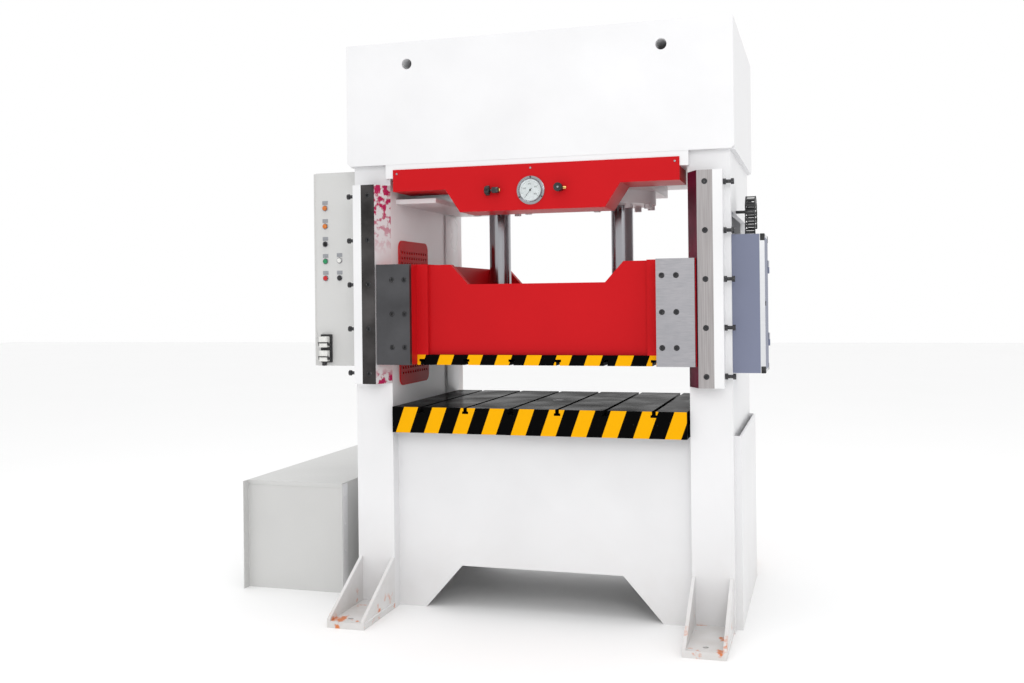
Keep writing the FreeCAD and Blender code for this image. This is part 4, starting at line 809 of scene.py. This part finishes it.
class PRESS_OT_terminal_box(PressOperator):
    """Black corner caps on the terminal box's aluminium rim, and a latch on its lid"""
    bl_idname = "press.terminal_box"
    bl_label = "Terminal box"

    def execute(self, context):
        low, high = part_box("side_box_body")
        face = high.x + RIM_DEPTH
        caps = []
        for y, inward_y in ((low.y, 1), (high.y, -1)):
            for z, inward_z in ((low.z, 1), (high.z, -1)):
                near = Vector((high.x + CORNER_START, y - inward_y * CORNER_PROUD,
                               z - inward_z * CORNER_PROUD))
                for reach_y, reach_z in ((CORNER_WIDTH, CORNER_REACH), (CORNER_REACH, CORNER_WIDTH)):
                    far = Vector((face + CORNER_PROUD, y + inward_y * reach_y, z + inward_z * reach_z))
                    caps.append(round_block("corner_cap", Vector(map(min, near, far)),
                                            Vector(map(max, near, far)), 2 * MM))
        fit(joined("corner_caps", caps), "frame", "black_plastic")
        y, z = low.y + LATCH_INSET, centre_of("side_box_body").z
        latch = round_disc("box_latch", LATCH_RADIUS, (face - LATCH_BACK, y, z),
                           (face + LATCH_FRONT, y, z), 0.8 * MM, 32)
        fit(latch, "box_lid", "black_plastic")
        return {"FINISHED"}


CHAIN_WIDTH, CHAIN_THICKNESS, CHAIN_BEND, CHAIN_DROP = 45 * MM, 30 * MM, 70 * MM, 60 * MM
CHAIN_LINKS = 13
ARM_HEIGHTS = (1868 * MM, 1880 * MM)
LINK_SIDE, LINK_BAR, LINK_PIN, LINK_PIN_HALF = 4 * MM, 3 * MM, 4 * MM, 22 * MM
# Half heights of a link's side plate and crossbar, as shares of the pitch
SIDE_SHARE, BAR_SHARE = 0.42, 0.2


class PRESS_OT_chain(PressOperator):
    """Cable chain of open links from the terminal box over to the column"""
    bl_idname = "press.chain"
    bl_label = "Cable chain"

    def execute(self, context):
        low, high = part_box("cable_chain")
        left, right = high.x - CHAIN_WIDTH, high.x
        half = CHAIN_THICKNESS / 2
        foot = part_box("side_box_rim")[1].z
        bend_z = high.z - CHAIN_BEND - half
        rise_y = low.y + half
        centre_y = rise_y + CHAIN_BEND
        fall_y = centre_y + CHAIN_BEND
        rise, arc = bend_z - foot, math.pi * CHAIN_BEND
        pitch = (rise + arc + CHAIN_DROP) / CHAIN_LINKS
        links = []
        for number in range(CHAIN_LINKS):
            travelled = (number + 0.5) * pitch
            if travelled < rise:
                y, z, lean = rise_y, foot + travelled, 0.0
            elif travelled < rise + arc:
                lean = (travelled - rise) / CHAIN_BEND
                y, z = centre_y - CHAIN_BEND * math.cos(lean), bend_z + CHAIN_BEND * math.sin(lean)
            else:
                y, z, lean = fall_y, bend_z - (travelled - rise - arc), math.pi
            links.append(self.link(left, right, pitch, Vector((0, y, z)), lean))
        arm = round_block("chain_arm", (low.x, fall_y - half, ARM_HEIGHTS[0]),
                          (left, fall_y + half, ARM_HEIGHTS[1]), 1 * MM)
        fit(joined("chain_links", [*links, arm]), "frame", "black_plastic", replaces=["cable_chain"])
        return {"FINISHED"}

    def link(self, left, right, pitch, place, lean):
        """One link: two side plates, two crossbars and a pin, turned to follow the run."""
        half, side, bar = CHAIN_THICKNESS / 2, pitch * SIDE_SHARE, pitch * BAR_SHARE
        blocks = [add_block("link_side", (x, -half, -side), (x + LINK_SIDE, half, side))
                  for x in (left, right - LINK_SIDE)]
        blocks += [add_block("link_bar", (left, y, -bar), (right, y + LINK_BAR, bar))
                   for y in (-half, half - LINK_BAR)]
        middle = (left + right) / 2
        blocks.append(add_disc("link_pin", LINK_PIN, (middle - LINK_PIN_HALF, 0, side),
                               (middle + LINK_PIN_HALF, 0, side), 16))
        link = soften(joined("chain_link", blocks), 0.8 * MM, 1)
        link.data.transform(Matrix.Translation(place) @ Matrix.Rotation(-lean, 4, "X"))
        return link


# Power unit trim, cover screws, welds, and the doubler plate on the left column

UNIT_FRONT = 48 * MM
STRIP_START, STRIP_END, STRIP_THICKNESS = 4 * MM, 60 * MM, 2 * MM
STRIP_BOTTOM, STRIP_TOP_GAP = 20 * MM, 6 * MM
UNIT_SCREW_SHARES = (0.12, 0.38, 0.62, 0.88)
UNIT_SCREW_RADIUS, UNIT_SCREW_HEIGHT = 6 * MM, 3 * MM
LID_EDGE_HEIGHT, LID_EDGE_THICKNESS, LID_EDGE_SHIFT = 24 * MM, 2 * MM, 1 * MM


class PRESS_OT_power_unit(PressOperator):
    """Edge strip with its screws, and the lid's front edge, on the power unit"""
    bl_idname = "press.power_unit"
    bl_label = "Power unit trim"

    def execute(self, context):
        low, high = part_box("power_unit_housing")
        front = low.y + UNIT_FRONT
        outside = high.x + STRIP_THICKNESS
        strip = round_block("unit_strip", (high.x, front + STRIP_START, STRIP_BOTTOM),
                            (outside, front + STRIP_END, high.z - STRIP_TOP_GAP), 0.7 * MM)
        fit(strip, "frame", "white_paint")
        middle = front + (STRIP_START + STRIP_END) / 2
        screws = [round_disc("unit_screw", UNIT_SCREW_RADIUS, (outside, middle, high.z * share),
                             (outside + UNIT_SCREW_HEIGHT, middle, high.z * share), 1.2 * MM, 24)
                  for share in UNIT_SCREW_SHARES]
        fit(joined("unit_screws", screws), "frame", "white_paint")
        lid = round_block("unit_lid_edge",
                          (low.x + LID_EDGE_SHIFT, front - LID_EDGE_THICKNESS, high.z - LID_EDGE_HEIGHT),
                          (high.x + LID_EDGE_SHIFT, front, high.z), 0.6 * MM)
        fit(lid, "frame", "grey_paint")
        return {"FINISHED"}


COVER_SCREW_SHARES = (-0.485, 0.0, 0.485)
COVER_SCREW_RADIUS, COVER_SCREW_HEIGHT, COVER_SCREW_INSET = 5 * MM, 3 * MM, 20 * MM


class PRESS_OT_small_screws(PressOperator):
    """Button-head screws along the cylinder cover's upper edge"""
    bl_idname = "press.small_screws"
    bl_label = "Cover screws"

    def execute(self, context):
        low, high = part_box("cylinder_cover")
        z = high.z - COVER_SCREW_INSET
        heads = []
        for share in COVER_SCREW_SHARES:
            x = share * (high.x - low.x)
            heads.append(round_disc("cover_screw", COVER_SCREW_RADIUS, (x, low.y - COVER_SCREW_HEIGHT, z),
                                    (x, low.y, z), 1.3 * MM, 32, 3))
        fit(joined("cover_screws", heads), "frame", "chromed")
        return {"FINISHED"}


STITCHES, STITCH_LENGTH, STITCH_OFFSET = 5, 45 * MM, 40 * MM
# Places of the foot welds: sideways, upwards, behind the foot's front and behind the column's rear
FOOT_WELD_X, FOOT_WELD_Z, FOOT_WELD_LENGTH = (712 * MM, 893 * MM), 30 * MM, 330 * MM
FOOT_WELD_FRONT, FOOT_WELD_REAR = 20 * MM, 5 * MM


class PRESS_OT_welds(PressOperator):
    """Stitch welds between the gib holders and the columns, and along the feet"""
    bl_idname = "press.welds"
    bl_label = "Welds"

    def execute(self, context):
        radius = context.scene.press_sizes.weld_size
        low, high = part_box("gib_holders")
        column_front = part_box("left_column")[0].y
        foot_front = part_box("foot_brackets")[0].y
        pitch = (high.z - low.z) / STITCHES
        beads = []
        for side in (-1, 1):
            for y in (column_front, -column_front):
                for number in range(STITCHES):
                    z = low.z + (number + 0.5) * pitch + STITCH_OFFSET
                    x = side * high.x
                    beads.append(self.bead(radius, (x, y, z), (x, y, z + STITCH_LENGTH)))
        for side in (-1, 1):
            for x in FOOT_WELD_X:
                for y in (foot_front + FOOT_WELD_FRONT, -column_front + FOOT_WELD_REAR):
                    beads.append(self.bead(radius, (side * x, y, FOOT_WELD_Z),
                                           (side * x, y + FOOT_WELD_LENGTH, FOOT_WELD_Z)))
        fit(joined("weld_beads", beads), "frame", "white_paint")
        return {"FINISHED"}

    def bead(self, radius, start, end):
        return round_disc("bead", radius, start, end, 1.5 * MM, 12, 3)


DOUBLER_START, DOUBLER_END, DOUBLER_THICKNESS = 749 * MM, 940 * MM, 10 * MM
DOUBLER_HEIGHTS = (980 * MM, 1946 * MM)


class PRESS_OT_doubler(PressOperator):
    """Stiffening plate on the left column's inner wall, towards the rear"""
    bl_idname = "press.doubler"
    bl_label = "Doubler plate"

    def execute(self, context):
        low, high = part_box("left_column")
        plate = round_block("column_doubler", (high.x, low.y + DOUBLER_START, DOUBLER_HEIGHTS[0]),
                            (high.x + DOUBLER_THICKNESS, low.y + DOUBLER_END, DOUBLER_HEIGHTS[1]), 2 * MM)
        fit(plate, "frame", "white_paint")
        return {"FINISHED"}


# Stage

CAMERA_PLACE = Vector((1.3007, -5.2655, 1.4796))
CAMERA_YAW = math.radians(16.507)
CAMERA_PITCH = math.radians(0.066)
CAMERA_ROLL = math.radians(0.637)
CAMERA_LENS, CAMERA_SHIFT = 37.39, -0.042
FLOOR_SIZE = 60
FLOOR_TONES = (0.93, 0.93, 0.93), (0.95, 0.95, 0.95)


class PRESS_OT_stage(PressOperator):
    """Camera, pale floor, soft lights and surroundings"""
    bl_idname = "press.stage"
    bl_label = "Studio"

    def execute(self, context):
        self.camera(context.scene)
        bpy.ops.object.select_all(action="DESELECT")
        bpy.ops.mesh.primitive_plane_add(size=FLOOR_SIZE)
        floor = placed("studio_floor")
        material, tree, shader = new_material("pale_floor")
        tone = mix_colours(tree, noise(tree, 0.6), *FLOOR_TONES)
        tree.links.new(tone, shader.inputs["Base Color"])
        shader.inputs["Roughness"].default_value = 0.7
        floor.data.materials.append(material)
        self.lamp("key_light", place=(2.2, -6.5, 4.0), target=(0.4, 0.0, 1.3), size=2.5, power=75)
        self.lamp("top_light", place=(0.0, -0.5, 6.5), target=(0.0, 0.0, 0.0), size=4.0, power=90)
        world = bpy.data.worlds.new("studio")
        world.use_nodes = True
        background = world.node_tree.nodes["Background"]
        background.inputs["Color"].default_value = (1.0, 1.0, 1.0, 1.0)
        background.inputs["Strength"].default_value = 1.0
        context.scene.world = world
        context.scene.view_settings.view_transform = "Standard"
        return {"FINISHED"}

    def camera(self, scene):
        ahead = Vector((-math.sin(CAMERA_YAW) * math.cos(CAMERA_PITCH),
                        math.cos(CAMERA_YAW) * math.cos(CAMERA_PITCH), math.sin(CAMERA_PITCH)))
        level = Vector((math.cos(CAMERA_YAW), math.sin(CAMERA_YAW), 0))
        upright = level.cross(ahead)
        right = level * math.cos(CAMERA_ROLL) - upright * math.sin(CAMERA_ROLL)
        up = upright * math.cos(CAMERA_ROLL) + level * math.sin(CAMERA_ROLL)
        turn = Matrix((right, up, -ahead)).transposed()
        bpy.ops.object.camera_add(location=CAMERA_PLACE, rotation=turn.to_euler())
        camera = bpy.context.active_object
        camera.data.lens = CAMERA_LENS
        camera.data.shift_y = CAMERA_SHIFT
        scene.camera = camera

    def lamp(self, name, place, target, size, power):
        aim = (Vector(target) - Vector(place)).to_track_quat("-Z", "Y").to_euler()
        bpy.ops.object.light_add(type="AREA", location=place, rotation=aim)
        light = bpy.context.active_object
        light.name = name
        light.data.size = size
        light.data.energy = power


class PRESS_PT_panel(bpy.types.Panel):
    """Lists the steps that fit out the press"""
    bl_label = "Press"
    bl_idname = "PRESS_PT_panel"
    bl_space_type = "VIEW_3D"
    bl_region_type = "UI"
    bl_category = "Press"

    def draw(self, context):
        for group in (context.scene.press_colours, context.scene.press_sizes):
            for name in group.bl_rna.properties.keys():
                if name not in ("rna_type", "name"):
                    self.layout.prop(group, name)
        for step in STEPS:
            self.layout.operator(step.bl_idname)


STEPS = (PRESS_OT_paint, PRESS_OT_gauge, PRESS_OT_valves, PRESS_OT_controls, PRESS_OT_connector,
         PRESS_OT_terminal_box, PRESS_OT_chain, PRESS_OT_power_unit, PRESS_OT_small_screws,
         PRESS_OT_welds, PRESS_OT_doubler, PRESS_OT_stage)
CLASSES = (PressColours, PressSizes, *STEPS, PRESS_PT_panel)


def register():
    for each in CLASSES:
        bpy.utils.register_class(each)
    bpy.types.Scene.press_colours = bpy.props.PointerProperty(type=PressColours)
    bpy.types.Scene.press_sizes = bpy.props.PointerProperty(type=PressSizes)


def unregister():
    del bpy.types.Scene.press_sizes
    del bpy.types.Scene.press_colours
    for each in reversed(CLASSES):
        bpy.utils.unregister_class(each)


def main():
    register()
    bpy.ops.press.paint()
    bpy.ops.press.gauge()
    bpy.ops.press.valves()
    bpy.ops.press.controls()
    bpy.ops.press.connector()
    bpy.ops.press.terminal_box()
    bpy.ops.press.chain()
    bpy.ops.press.power_unit()
    bpy.ops.press.small_screws()
    bpy.ops.press.welds()
    bpy.ops.press.doubler()
    bpy.ops.press.stage()


if __name__ == "__main__":
    main()
